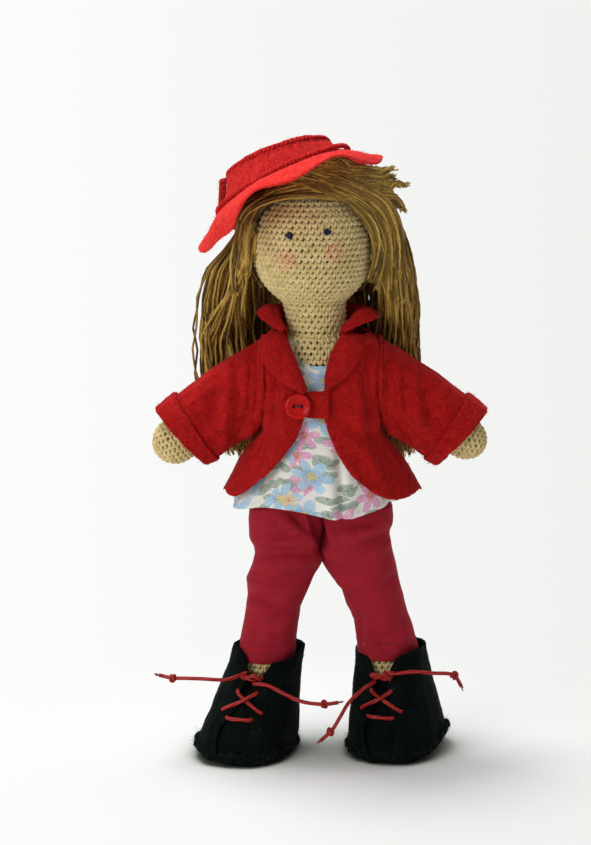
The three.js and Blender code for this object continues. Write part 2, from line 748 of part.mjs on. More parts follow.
function armSolid(side) {
  const start = new THREE.Vector3(side * ARM.rootX, 0, ARM.rootZ);
  const hand = new THREE.Vector3(side * ARM.handX, 0, ARM.handZ);
  const along = hand.clone().sub(start);
  const length = along.length();
  along.normalize();
  const across = new THREE.Vector3(0, -1, 0);
  const up = along.clone().cross(across);
  const stations = ARM.radii.map(([t, r]) => [t * length, r]);
  for (const lat of HAND_LATITUDES) {
    stations.push([length + HAND_R * Math.sin(lat * DEG), HAND_R * Math.cos(lat * DEG)]);
  }
  return loft(stations.map(([d, r]) => {
    const centre = start.clone().addScaledVector(along, d);
    const ring = [];
    for (let i = 0; i < ARM_SIDES; i += 1) {
      const a = (2 * Math.PI * i) / ARM_SIDES;
      const spot = centre.clone().addScaledVector(across, r * Math.cos(a));
      ring.push(spot.addScaledVector(up, r * Math.sin(a)).toArray());
    }
    return ring;
  }));
}
function legRing(z, cx, cy, a, b, e, sides) {
  const ring = [];
  for (let i = 0; i < sides; i += 1) {
    const angle = (2 * Math.PI * i) / sides;
    ring.push([cx + a * superSin(angle, e), cy - b * superCos(angle, e), z]);
  }
  return ring;
}

function trouserLeg(rows) {
  const outer = rows.map(([z, cx, cy, a, b, e]) => legRing(z, cx, cy, a, b, e, LEG_SIDES));
  const inner = rows.map(([z, cx, cy, a, b, e]) => legRing(z, cx, cy, a - COTTON, b - COTTON, e, LEG_SIDES));
  return tube(outer, inner);
}
function legSolid(side) {
  const rows = LEG_WEAR[side];
  const place = bootFrame(BOOTS[side]);
  const rings = FOOT.map(([z, half, front, back]) => {
    const ring = [];
    for (let i = 0; i < STUFFED_SIDES; i += 1) {
      const angle = (2 * Math.PI * i) / STUFFED_SIDES;
      const depth = Math.cos(angle) > 0 ? front : back;
      ring.push(place(half * superSin(angle, FOOT_SQUARE), -depth * superCos(angle, FOOT_SQUARE), z));
    }
    return ring;
  });
  for (const [z, cx, cy, a, b, e] of rows.slice(0, -1)) {
    const half = Math.min(a - LEG_SLIM, CALF.half);
    const depth = Math.min(b - LEG_SLIM, CALF.depth);
    rings.push(legRing(z, cx, cy, half, depth, e, STUFFED_SIDES));
  }
  const [, cx, cy, a] = rows[rows.length - 1];
  for (const [height, inward, share, e] of THIGH_TOP) {
    const depth = share * Math.sqrt(HIP_DOME ** 2 - height ** 2);
    rings.push(legRing(HIP_Z + height, cx, cy, a - inward, depth, e, STUFFED_SIDES));
  }
  return loft(rings);
}
function bootFrame({ sole, yaw, rim }) {
  const shift = [rim[0] - sole[0], rim[1] - sole[1]];
  const [c, s] = [Math.cos(yaw), Math.sin(yaw)];
  return (x, y, z) => {
    const lean = Math.max(0, z - BOOT_WALL[0][0]) / (BOOT_TOP_Z - BOOT_WALL[0][0]);
    return [
      sole[0] + shift[0] * lean + x * c - y * s,
      sole[1] + shift[1] * lean + x * s + y * c,
      z,
    ];
  };
}

function bootWallPoint(place, z, angle, grow, drop = 0) {
  const [half, front, back, e] = rowAt(BOOT_WALL, z);
  const depth = Math.cos(angle) > 0 ? front : back;
  const [x, y] = [(half + grow) * superSin(angle, e), -(depth + grow) * superCos(angle, e)];
  return place(x, y, z - drop);
}

function bootPanel(place, levels, halfGap, from, to, steps, outside) {
  const grid = (grow) => levels.map((z) => {
    const row = [];
    for (let i = 0; i <= steps; i += 1) {
      const angle = lerp(from + halfGap(z), to - halfGap(z), i / steps);
      row.push(bootWallPoint(place, z, angle, grow));
    }
    return row;
  });
  return sheet(grid(outside), grid(outside - SUEDE));
}
// The sole's outline, drawn in by a margin, as a plate at a height
function solePlate({ sole, yaw }, z, thick, margin) {
  const outline = [];
  for (let i = 0; i < SOLE_SIDES; i += 1) {
    const angle = (2 * Math.PI * i) / SOLE_SIDES;
    const depth = Math.cos(angle) > 0 ? SOLE_EDGE.front : SOLE_EDGE.back;
    const x = (SOLE_EDGE.half - margin) * superSin(angle, SOLE_EDGE.square);
    outline.push(new THREE.Vector2(x, -(depth - margin) * superCos(angle, SOLE_EDGE.square)));
  }
  const plate = new THREE.ExtrudeGeometry(new THREE.Shape(outline), { depth: thick, bevelEnabled: false });
  return solidOf(plate.rotateZ(yaw).translate(sole[0], sole[1], z));
}
function wallAngle(x, z) {
  const [half, , , e] = rowAt(BOOT_WALL, z);
  return Math.sign(x) * Math.asin(Math.min(1, Math.abs(x) / half) ** (e / 2));
}

function onWall(place, x, z, off) {
  return bootWallPoint(place, z, wallAngle(x, z), off);
}
// A run of lace: up out of one hole, over the boot and down into the other
function lacing(place, from, to, rise, peak = 0.5) {
  const top = CORD_R + 0.25;
  const at = (t) => [lerp(from[0], to[0], t), lerp(from[1], to[1], t)];
  const stops = [
    [0, LACE_SUNK], [0.05, 0.5], [0.2, top], [peak, top + rise], [0.84, top], [0.95, 0.5], [1, LACE_SUNK],
  ];
  return stops.map(([t, off]) => onWall(place, ...at(t), off));
}

function laceRuns(place) {
  return {
    bar: lacing(place, [-BAR.x, BAR.z], [BAR.x, BAR.z], 0),
    cross_under: lacing(place, [CROSS_LOW.x, CROSS_LOW.z], [-CROSS_TOP.x, CROSS_TOP.z], 0),
    cross_over: lacing(place, [-CROSS_LOW.x, CROSS_LOW.z], [CROSS_TOP.x, CROSS_TOP.z], LACE_OVER, CROSSING),
    tie: lacing(place, [-TIE.x, TIE.z], [TIE.x, TIE.z], TIE_RISE),
  };
}

// Trunk
function torsoSolid(grow) {
  const rings = trunkRings(TORSO, grow, TORSO_SIDES);
  rings[0] = rings[0].map(([x, y, z]) => [x, y, z - grow]);
  rings[rings.length - 1] = rings[rings.length - 1].map(([x, y, z]) => [x, y, z + grow]);
  return loft(rings).subtract(rodX(-REACH, REACH, HIP_Z, HIP_CUT - grow, HIP_CUT - grow, HIP_CUT_SIDES));
}

add(doll, "torso", torsoSolid(0), "crochet");

// Head and eyes
const headGroup = hung(doll, [NECK_X, 0, NECK_BASE_Z]);
let head = headSolid(0);
for (const [side, spot] of Object.entries(EYES)) {
  const centre = eyeCentre(spot);
  head = head.subtract(solidOf(new THREE.SphereGeometry(EYE_R + GAP, 12, 8).translate(...centre)));
  add(headGroup, `eye_${side}`, solidOf(new THREE.SphereGeometry(EYE_R, 12, 8).translate(...centre)), "bead");
}
add(headGroup, "head", head, "crochet");

// Arms: flat where they are sewn to the trunk, so that they can turn there
const armGroup = {};
const nearShoulder = TORSO.filter(([z]) => Math.abs(z - SHOULDER_Z) < 2 * HAND_R);
const armSeat = Math.max(...nearShoulder.map(([, half]) => half)) + GAP;
for (const [side, sign] of SIDES) {
  armGroup[side] = hung(doll, [sign * SHOULDER_X, 0, SHOULDER_Z]);
  add(armGroup[side], `arm_${side}`, armSolid(sign).trimByPlane([sign, 0, 0], armSeat), "crochet");
}

// Legs
const legGroup = {};
for (const [side, sign] of SIDES) {
  legGroup[side] = hung(doll, [sign * HIP_X, 0, HIP_Z]);
  add(legGroup[side], `leg_${side}`, legSolid(side), "crochet");
}

// Blouse
function blouseFold(z, angle) {
  const low = Math.min(1, Math.max(0, (FOLD_FROM_Z - z) / FOLD_FULL));
  const inward = FOLD_IN * low * (0.5 + 0.5 * Math.cos(FOLD_COUNT * angle + 1));
  const atHem = z < BLOUSE[0][0] + HEM_ABOVE;
  const drop = atHem ? HEM_WAVE * (Math.cos(HEM_WAVES * (angle - 0.3)) - 0.4) : 0;
  return [inward, drop];
}

const scoop = new THREE.CylinderGeometry(NECK_SCOOP.half, NECK_SCOOP.half, 2 * REACH, 24);
let blouse = tube(
  trunkRings(BLOUSE, 0, BLOUSE_SIDES, blouseFold),
  trunkRings(BLOUSE, -COTTON, BLOUSE_SIDES, blouseFold),
).subtract(solidOf(scoop.translate(NECK_SCOOP.x, 0, NECK_SCOOP.z)));
for (const [, sign] of SIDES) {
  const [x0, x1] = outward(sign, BLOUSE_ARMHOLE_FROM);
  blouse = blouse.subtract(rodX(x0, x1, SHOULDER_Z, BLOUSE_ARMHOLE_R, BLOUSE_ARMHOLE_R, 20));
}
add(doll, "blouse", blouse, "print");

// Trousers: a seat round the hips and two legs
add(doll, "trousers_seat", tube(trunkRings(SEAT, 0, JACKET_SIDES), trunkRings(SEAT, -COTTON, JACKET_SIDES))
  .subtract(rodX(-REACH, REACH, HIP_Z, HIP_CUT, HIP_CUT, HIP_CUT_SIDES)), "trousers");
for (const [side] of SIDES) {
  add(legGroup[side], `trouser_leg_${side}`, trouserLeg(LEG_WEAR[side]), "trousers");
}

// Jacket: one back and two cutaway fronts out of the same shell
function jacketLayer(from, to) {
  return tube(trunkRings(JACKET, to, JACKET_SIDES), trunkRings(JACKET, from, JACKET_SIDES));
}

let shell = jacketLayer(-FELT, 0);
for (const [, sign] of SIDES) {
  const [x0, x1] = outward(sign, ARMHOLE.from);
  shell = shell.subtract(rodX(x0, x1, SHOULDER_Z, ARMHOLE.halfDepth, ARMHOLE.halfHeight, 24));
}
// The side seams lie at y = 0 and part into a slit below SIDE_SLIT.top
function slitSide(solid, sign) {
  const open = Math.atan2(SIDE_SLIT.open, SIDE_SLIT.top - JACKET[0][0]);
  const plain = solid.trimByPlane([0, sign, 0], GAP / 2);
  const tilted = [0, sign * Math.cos(open), Math.sin(open)];
  return plain.trimByPlane(tilted, SIDE_SLIT.top * Math.sin(open) + GAP / 2);
}
function jacketFront(edge, sign) {
  const inner = smoothLine(edge, 26);
  const [first, last] = [inner[0], inner[inner.length - 1]];
  const outline = [...inner, new THREE.Vector2(sign * REACH, last.y)];
  outline.push(new THREE.Vector2(sign * REACH, 2 * REACH), new THREE.Vector2(first.x, 2 * REACH));
  return slitSide(shell.intersect(prism(outline, -REACH, FRONT_BACK_Y)), -1);
}

add(doll, "jacket_back", slitSide(shell, 1), "felt");
add(doll, "jacket_front_right", jacketFront(FRONT_RIGHT, -1), "felt");
add(doll, "jacket_front_left", jacketFront(FRONT_LEFT, 1), "felt");

// Lapels and button loop lie on the fronts
const overlay = jacketLayer(GAP, GAP + FELT);
add(doll, "lapel_right", overlay.intersect(prism(smoothLine(LAPEL_RIGHT, 20), -REACH, LAPEL_BACK_Y)), "felt");
add(doll, "lapel_left", overlay.intersect(prism(smoothLine(LAPEL_LEFT, 20), -REACH, LAPEL_BACK_Y)), "felt");
add(doll, "button_loop", overlay
  .intersect(prism(smoothLine(LOOP, 20), -REACH, LAPEL_BACK_Y))
  .subtract(prism(smoothLine(LOOP_HOLE, 14), -REACH, LAPEL_BACK_Y)), "felt");

// Button and its thread, on the loop
const buttonSeat = trunkPoint(JACKET, BUTTON.z, 0, 2 * GAP + FELT)[1];
const onButton = new THREE.Matrix4()
  .makeRotationX(Math.PI / 2 - BUTTON.tilt)
  .setPosition(BUTTON.x, buttonSeat, BUTTON.z);
const disc = new THREE.LatheGeometry(BUTTON_PROFILE.map(([r, h]) => new THREE.Vector2(r, h)), BUTTON_SIDES);
let button = solidOf(disc.rotateX(Math.PI / 2).applyMatrix4(onButton));
for (const x of [HOLE_X, -HOLE_X]) {
  const hole = new THREE.CylinderGeometry(THREAD_R + GAP, THREAD_R + GAP, 6, 10).rotateX(Math.PI / 2);
  button = button.subtract(solidOf(hole.translate(x, 0, 1).applyMatrix4(onButton)));
}
add(doll, "button", button, "button");
const stitch = [
  [-HOLE_X, 0, -1.4], [-HOLE_X, 0, 0.4], [-HOLE_X, 0, 1.9], [-0.9, 0, 2.8],
  [0.9, 0, 2.8], [HOLE_X, 0, 1.9], [HOLE_X, 0, 0.4], [HOLE_X, 0, -1.4],
].map((p) => new THREE.Vector3(...p).applyMatrix4(onButton).toArray());
add(doll, "button_thread", cordSolid(stitch, THREAD_R, 14, THREAD_SIDES), "thread");

// Collar: stands at the neck and rolls outwards
function collarGrid(lift) {
  return COLLAR_PROFILE.map(([o, z], k) => {
    const before = COLLAR_PROFILE[Math.max(0, k - 1)];
    const after = COLLAR_PROFILE[Math.min(COLLAR_PROFILE.length - 1, k + 1)];
    const run = Math.hypot(after[0] - before[0], after[1] - before[1]);
    const out = o - (lift * (after[1] - before[1])) / run;
    const up = z + (lift * (after[0] - before[0])) / run;
    const row = [];
    for (let i = 0; i <= COLLAR_STEPS; i += 1) {
      const angle = lerp(COLLAR_FROM, 2 * Math.PI - COLLAR_FROM, i / COLLAR_STEPS);
      row.push([
        COLLAR_ROOT.x + (COLLAR_ROOT.half + out) * superSin(angle, COLLAR_ROOT.square),
        -(COLLAR_ROOT.depth + out) * superCos(angle, COLLAR_ROOT.square),
        up,
      ]);
    }
    return row;
  });
}
add(doll, "collar", sheet(collarGrid(0), collarGrid(FELT)), "felt");

// Sleeves and turned-back cuffs
for (const [side, sign] of SIDES) {
  const sleeveLayer = (stations, inner, outer) => tube(
    stations.map((t) => sleeveRing(sign, t, outer)),
    stations.map((t) => sleeveRing(sign, t, inner)),
  );
  const run = Math.hypot(SLEEVE.cuffX - SLEEVE.rootX, SHOULDER_Z - SLEEVE.cuffZ);
  const band = [1 - CUFF_WIDTH / run, 1 - CUFF_WIDTH / run / 2, 1];
  add(armGroup[side], `sleeve_${side}`, sleeveLayer(SLEEVE_STEPS, -FELT, 0), "felt");
  add(armGroup[side], `cuff_${side}`, sleeveLayer(band, GAP, CUFF_OUT), "felt");
}

// Boots and their laces
function quarterGap(z) {
  const share = Math.max(0, (z - QUARTER_OPEN.fromZ) / (BOOT_TOP_Z - QUARTER_OPEN.fromZ));
  return wallAngle(lerp(QUARTER_OPEN.low, QUARTER_OPEN.top, share), z);
}

for (const [side, sign] of SIDES) {
  const boot = BOOTS[side];
  const place = bootFrame(boot);
  const bootGroup = hung(legGroup[side], [...boot.sole, 0]);
  add(bootGroup, `boot_sole_${side}`, solePlate(boot, 0, SOLE_THICK, 0), "suede");
  add(bootGroup, `boot_insole_${side}`, solePlate(boot, SOLE_THICK + GAP, INSOLE_THICK, INSOLE_IN), "card");

  const levels = BOOT_WALL.map(([z]) => z);
  const low = levels.filter((z) => z < TONGUE_TOP_Z);
  let quarter = bootPanel(place, levels, quarterGap, 0, 2 * Math.PI, BOOT_SIDES, 0);
  const [from, to] = [-TONGUE_HALF_ANGLE, TONGUE_HALF_ANGLE];
  let tongue = bootPanel(place, [...low, TONGUE_TOP_Z], () => 0, from, to, TONGUE_STEPS, -SUEDE - 2 * GAP);
  for (const [name, points] of Object.entries(laceRuns(place))) {
    const cord = cordSolid(points, CORD_R, RUN_STEPS);
    const hole = cordSolid(points, CORD_R + CORD_HOLE, RUN_STEPS - 3, 4);
    quarter = quarter.subtract(hole);
    tongue = tongue.subtract(hole);
    add(bootGroup, `lace_${name}_${side}`, name === "tie" ? cord.add(knotSolid(points, 0.5)) : cord, "cord");
  }
  add(bootGroup, `boot_quarter_${side}`, quarter, "suede");
  add(bootGroup, `boot_tongue_${side}`, tongue, "suede");
  const starts = {
    out: onWall(place, sign * TIE_LEAVE.x, TIE.z + TIE_LEAVE.z, TIE_LEAVE.off),
    in: onWall(place, -sign * TIE_LEAVE.x, TIE.z - TIE_LEAVE.z, TIE_LEAVE.off),
  };
  for (const [end, points] of Object.entries(FREE_ENDS[side])) {
    const route = [starts[end], ...points];
    const free = cordSolid(route, CORD_R, FREE_STEPS).add(knotSolid(route, KNOT_AT));
    add(bootGroup, `lace_end_${end}_${side}`, free, "cord");
  }
}

// Hat
const hatGroup = hung(headGroup, HAT_BASE.centre);
const crown = CROWN_STEPS.map(crownAt);
add(hatGroup, "hat_crown_side", tube(
  crown.map((station) => discRing(station, 0, 0, CROWN_SIDES)),
  crown.map((station) => discRing(station, -FELT, 0, CROWN_SIDES)),
), "felt");
add(hatGroup, "hat_crown_top", loft([
  discRing(HAT_TOP, 0, GAP, CROWN_SIDES),
  discRing(HAT_TOP, 0, GAP + FELT, CROWN_SIDES),
]), "felt");
add(hatGroup, "hat_brim", brimSolid(0), "felt");
add(hatGroup, "hat_side_lap", loft(LAP_SPAN.map(lapRing)), "felt");

// Hair
const headRoom = headSolid(GAP);
const capRoom = capSolid(GAP);
const brimRoom = brimSolid(GAP);
const backRoom = fallSolid(FALL_BACK, GAP);
const fringeRoom = fringeSolid();
const hairlineLength = Math.hypot(1, HAIRLINE.slope);
add(headGroup, "hair_cap", capSolid(0)
  .subtract(headRoom)
  .trimByPlane(
    [0, 1 / hairlineLength, HAIRLINE.slope / hairlineLength],
    (HAIRLINE.y + HAIRLINE.slope * HAIRLINE.z) / hairlineLength,
  )
  .trimByPlane([0, 0, 1], NAPE_Z), "yarn");
const fringe = fringeSolid().subtract(capRoom).subtract(headRoom).subtract(brimRoom);
add(headGroup, "hair_fringe", largest(fringe), "yarn");
const backFall = fallSolid(FALL_BACK, 0).subtract(capRoom).subtract(brimRoom);
add(headGroup, "hair_fall_back", largest(backFall), "yarn");
for (const [side, table] of [["left", FALL_LEFT], ["right", FALL_RIGHT]]) {
  let fall = fallSolid(table, 0).subtract(capRoom).subtract(headRoom).subtract(backRoom).subtract(brimRoom);
  if (side === "left") fall = fall.subtract(fringeRoom);
  add(headGroup, `hair_fall_${side}`, largest(fall), "yarn");
}

export default doll;
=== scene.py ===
import math
import random

import bmesh
import bpy
import numpy as np
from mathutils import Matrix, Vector
from mathutils.bvhtree import BVHTree


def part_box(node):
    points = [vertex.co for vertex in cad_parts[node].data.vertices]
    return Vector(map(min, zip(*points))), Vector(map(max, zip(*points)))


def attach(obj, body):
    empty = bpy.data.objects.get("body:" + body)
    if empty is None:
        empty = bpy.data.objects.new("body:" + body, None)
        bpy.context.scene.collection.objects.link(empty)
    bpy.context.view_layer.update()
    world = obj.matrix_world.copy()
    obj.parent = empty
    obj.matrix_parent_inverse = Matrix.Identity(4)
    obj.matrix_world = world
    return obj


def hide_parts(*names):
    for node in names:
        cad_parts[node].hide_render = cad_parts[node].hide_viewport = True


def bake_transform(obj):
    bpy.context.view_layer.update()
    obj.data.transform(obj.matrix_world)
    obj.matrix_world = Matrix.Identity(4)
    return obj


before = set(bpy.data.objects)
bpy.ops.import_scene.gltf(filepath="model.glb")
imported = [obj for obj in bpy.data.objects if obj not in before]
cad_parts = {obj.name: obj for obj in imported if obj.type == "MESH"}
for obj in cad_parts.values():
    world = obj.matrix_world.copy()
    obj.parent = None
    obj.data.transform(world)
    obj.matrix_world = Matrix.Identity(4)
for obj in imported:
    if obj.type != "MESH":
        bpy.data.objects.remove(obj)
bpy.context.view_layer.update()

# Everything below is in millimetres and turned into metres by MM
MM = 0.001
TURN = 2 * math.pi
draw = random.Random(20)
SIDES = (("left", 1), ("right", -1))

# Cloth thicknesses
FELT_THICK = 1.2
BRIM_THICK = 1.25
COTTON_THICK = 0.6

# Trunk tables: z, half width, front, back, squareness, centre x
BLOUSE = [
    (112, 35, 28.5, 26.5, 2.2, -1.5), (126, 31, 24.7, 23, 2.2, -0.8), (136, 27.2, 21.5, 20.2, 2.3, -0.3),
    (146, 24.4, 18.9, 18.2, 2.4, 0), (155, 23.8, 17.4, 17, 2.4, 0), (176, 23.2, 15.8, 15.5, 2.4, 0),
    (181, 21.9, 15, 14.8, 2.4, 0), (184.5, 19.2, 14.1, 14.1, 2.3, -0.6), (186.6, 14.9, 13.4, 13.4, 2.1, -1.5),
]
ARMHOLE_R = 12.3
# The blouse's neck is a round scoop
NECK_X = -2.4
NECK_SCOOP = 13
TORSO = [
    (107, 25, 17, 17, 2.4, 0), (118, 24.2, 17, 17, 2.4, 0), (128, 23, 16.5, 16.3, 2.4, 0),
    (140, 22.5, 16.3, 16, 2.4, 0), (152, 22.6, 16.1, 15.7, 2.4, 0), (164, 22.6, 15.5, 15.1, 2.4, 0),
    (174, 22.3, 14.8, 14.5, 2.4, 0), (180, 21.3, 14, 13.8, 2.4, 0), (184, 18.5, 13, 13, 2.3, -0.6),
    (187, 13, 12.2, 12.2, 2.1, -1.5),
]
JACKET = [
    (117, 45, 29, 27, 2.3, 0.5), (132, 36.5, 25.6, 24, 2.4, 0.2), (140, 30.5, 23.5, 22, 2.8, 0),
    (146.2, 25.9, 21.9, 20.5, 3.4, 0), (153, 25.8, 20.9, 19.7, 4, 0), (168, 25.8, 19.1, 18.2, 4, 0),
    (176, 25.8, 18.2, 17.4, 4, 0), (182, 25.6, 17.2, 16.6, 3.6, 0), (186, 24.6, 16.3, 15.9, 3.2, -0.3),
    (188.6, 21.6, 15.6, 15.3, 2.8, -1), (190, 17.2, 15, 14.8, 2.4, -1.8),
]
SEAT = [
    (111.5, 29.6, 19.2, 19.2, 2.4, 0), (114, 28.6, 18.8, 18.8, 2.4, 0),
    (122, 27, 18.5, 18.4, 2.4, 0), (134, 24.4, 17.7, 17.5, 2.4, 0),
]
# Head: z, radius, centre x
HEAD = [
    (187.3, 11.8, -1.6), (191, 11.9, -2), (196, 12.2, -2.6), (200.4, 12.6, -3.1), (202.5, 13.3, -3.4),
    (205, 15.8, -3.8), (208, 18.9, -3.9), (212, 21.9, -4), (218.7, 24.6, -4.3), (226, 25.7, -4.6),
    (233, 25.6, -4.8), (239, 24.6, -5), (246, 20.9, -5.2), (250, 16.8, -5.3), (253, 11, -5.4),
    (254.5, 5, -5.4),
]
EYES = {"right": (-13.4, 233.0), "left": (1.6, 234.6)}
BLUSH = ((-15.0, -21.0, 223.2), (4.8, -23.0, 226.8))
# Hair: the falls as z, centre x, centre y, half width, half depth
HAIR_HEART = Vector((-4.8, 1, 229.5))
HAIR_SIDE_R = 29.6
HAIR_TOP_R = 34.2
HAIRLINE = (0.4545, -2 + 0.4545 * 205)
FALLS = {
    "right": [
        (131, -37, 25, 6, 3.5), (145, -39.5, 24.6, 9.5, 5.6), (165, -42, 24.2, 11, 6.2),
        (185, -43, 23, 11, 6.2), (200, -42.6, 17, 10.5, 6.5), (215, -40, 11, 9, 6.5), (224, -36, 9, 5.5, 5),
    ],
    "left": [
        (131, 36.5, 25, 5.5, 3.5), (145, 35.2, 24.6, 8.5, 5.6), (165, 34, 24.2, 9.8, 6.2),
        (185, 33.5, 22.5, 10, 6.2), (200, 33, 16, 10, 6.5), (215, 31.5, 9, 9.5, 6.5), (230, 29, 4, 8, 6),
        (243, 26, 1, 5, 5),
    ],
    "back": [
        (131, -1, 34, 23, 4), (150, -1.5, 33.5, 26.5, 5.8), (185, -3, 32.5, 27.5, 6),
        (203, -4, 32.5, 27, 6), (218, -5, 32.4, 22, 4.5), (227, -5.5, 33, 14, 2.8),
    ],
}
# Hat
HAT_LEAN = (26, 15)
HAT_BASE = {"centre": (-15.8, 0, 252), "radius": 29.5, "lean": (27, 14)}
HAT_TOP = {"centre": (-19, 3.5, 263.5), "radius": 23.3, "lean": (20, 16)}
# Arms and sleeves
SHOULDER_Z = 166.5
SLEEVE = {"root": (26.1, 19.2, 14.4), "cuff": (61.8, 15.8, 11.6), "cuff_z": 141.9, "open": math.radians(42.3)}
ARM_FROM = (14, 173)
ARM_TO = (64.6, 139.4)
ARM_RADII = [(0, 9.2), (0.3, 8.9), (0.55, 8.1), (0.78, 7.7), (0.88, 8.5), (1, 9.4)]
HAND_R = 9.4
# Trouser legs: z, centre x, centre y, half width, half depth, squareness
LEG_WEAR = {
    "left": [
        (41.8, 29.9, 3, 13.6, 11, 2.2), (47, 29.6, 2.8, 13.6, 11.4, 2.2), (52, 28.6, 2.2, 13.1, 11.8, 2.2),
        (59.5, 27.1, 1.6, 12.3, 12.6, 2.2), (67, 24.2, 1, 13.1, 13, 2.3), (74, 21.8, 0.6, 13.5, 13.6, 2.3),
        (81, 18.6, 0.4, 15.3, 14.2, 2.4), (87, 16.2, 0.1, 16.4, 14.9, 2.7), (92.6, 15.2, 0, 15.9, 15.4, 2.9),
        (98, 14.6, 0, 15.5, 15.8, 3.1), (103, 15.4, 0, 15.9, 16, 3.2), (111.5, 15.4, 0, 15.9, 16.15, 3.2),
        (117, 14, 0, 13.8, 16, 2.8), (122, 13, 0, 12.2, 15.6, 2.6),
    ],
    "right": [
        (40.6, -24, 2.2, 12.4, 11, 2.2), (47, -23.6, 2, 12.4, 11.5, 2.2), (52, -23, 1.8, 12.2, 11.8, 2.2),
        (59, -22.1, 1.2, 12, 12.4, 2.2), (65, -21.3, 0.6, 12, 13, 2.2), (70.5, -20, 0, 12.8, 13.6, 2.3),
        (78, -18.6, 0, 14.8, 14.2, 2.4), (83, -16.2, 0.1, 15.1, 14.6, 2.5), (89, -14.2, 0, 15.4, 15, 2.7),
        (98, -15.3, 0, 16.4, 15.8, 3.1), (106, -15.9, 0, 16.3, 16, 3.2), (111.5, -15.7, 0, 15.9, 16.15, 3.2),
        (117, -14.2, 0, 13.8, 16, 2.8), (122, -13, 0, 12.2, 15.6, 2.6),
    ],
}
HEM_ROWS = (45.2, 49.6)
# Pieces between two bodies: the heights where the first body's share would end and the second's begin, in
# metres. The pieces are only set where they lie
HIP_BLEND = ((0, 0, 0.100), (0, 0, 0.119))
NECK_BLEND = ((0, 0, 0.206), (0, 0, 0.172))
# Boots: z, half width, front, back, squareness
BOOT_WALL = [
    (2.4, 22.3, 27.7, 27.1, 2.3), (4.6, 21.1, 26.3, 25.7, 2.3), (7.5, 20.9, 25.7, 25.2, 2.3),
    (14, 20.2, 23.8, 24, 2.3), (24, 18.6, 19.9, 21.4, 2.3), (34, 17, 16.8, 18.6, 2.3),
    (40, 16.2, 15.4, 16.8, 2.3), (47.2, 15.9, 14.6, 15.6, 2.3),
]
BOOTS = {
    "left": {"sole": (34.5, -1.4), "yaw": math.radians(-20), "rim": (31.2, 3.6)},
    "right": {"sole": (-33.4, -5.4), "yaw": math.radians(-19), "rim": (-23, 2.6)},
}
SOLE_EDGE = {"half": 22.6, "front": 28, "back": 27.4, "square": 2.3}
# Laces
CORD_R = 0.85
BAR = (6, 19.6)
CROSS_LOW = (9.4, 22)
CROSS_TOP = (4.8, 30.4)
TIE = (4.8, 36.4)
TIE_LEAVE = (2, 2.1, 2)
FREE_ENDS = {
    "left": {
        "out": [(33, -19, 39.2), (40, -20.4, 40.4), (49, -20.6, 39.8), (58.2, -20, 38.7), (61.6, -19.8, 33.6)],
        "in": [(18, -21.8, 32.6), (12, -26, 28), (8, -28.6, 22), (4.8, -30, 17), (-0.6, -31, 12)],
    },
    "right": {
        "out": [(-42, -20.6, 36.9), (-52, -20.6, 37.2), (-60, -19.6, 37.2), (-65.4, -18.6, 37),
                (-71.6, -18, 38.2)],
        "in": [(-23.5, -22.2, 34.6), (-17, -25, 32), (-9, -28.2, 29.2), (1, -30, 28.4), (7.4, -30, 29.2)],
    },
}
KNOT_AT = 0.85
# Button
BUTTON_AT = (-10.3, 159.0)
BUTTON_TILT = math.radians(6.9)
BUTTON_PROFILE = [
    (0, 0), (4.5, 0), (5.2, 0.25), (5.65, 0.8), (5.7, 1.35), (5.5, 2), (5.05, 2.45), (4.6, 2.55),
    (4.2, 2.35), (3.8, 2), (3.2, 1.85), (0, 1.8),
]
BUTTON_OFF = 1.9
HOLE_X = 1.5
HOLE_R = 0.78


# Camera: the photograph's height, distance and framing
CAMERA_DOWN = math.radians(10)
CAMERA_AWAY = 1100
CAMERA_AIM = Vector((-11.4, 0, 148))
FILM = 36
FOCAL = FILM * 2500 / 845


# Small helpers
def row_at(table, z):
    """A table's row at a height, in between its own rows."""
    if z <= table[0][0]:
        return table[0][1:]
    if z >= table[-1][0]:
        return table[-1][1:]
    for low, high in zip(table, table[1:]):
        if z <= high[0]:
            t = (z - low[0]) / (high[0] - low[0])
            return tuple(a + (b - a) * t for a, b in zip(low[1:], high[1:]))


def super_cos(angle, square):
    c = math.cos(angle)
    return math.copysign(abs(c) ** (2 / square), c)


def super_sin(angle, square):
    s = math.sin(angle)
    return math.copysign(abs(s) ** (2 / square), s)


def trunk_point(table, z, angle, grow=0.0):
    """A point of the trunk or of cloth round it, at an angle from the front."""
    a, front, back, square, cx = row_at(table, z)
    depth = front if math.cos(angle) > 0 else back
    return Vector((cx + (a + grow) * super_sin(angle, square), -(depth + grow) * super_cos(angle, square), z))


def leaning(lean, back):
    """The right, up and front of something that leans over."""
    a, b = math.radians(lean), math.radians(back)
    right = Vector((math.cos(a), 0, math.sin(a)))
    up = Vector((-math.sin(a) * math.cos(b), math.sin(b), math.cos(a) * math.cos(b)))
    return right, up, -(up.cross(right))


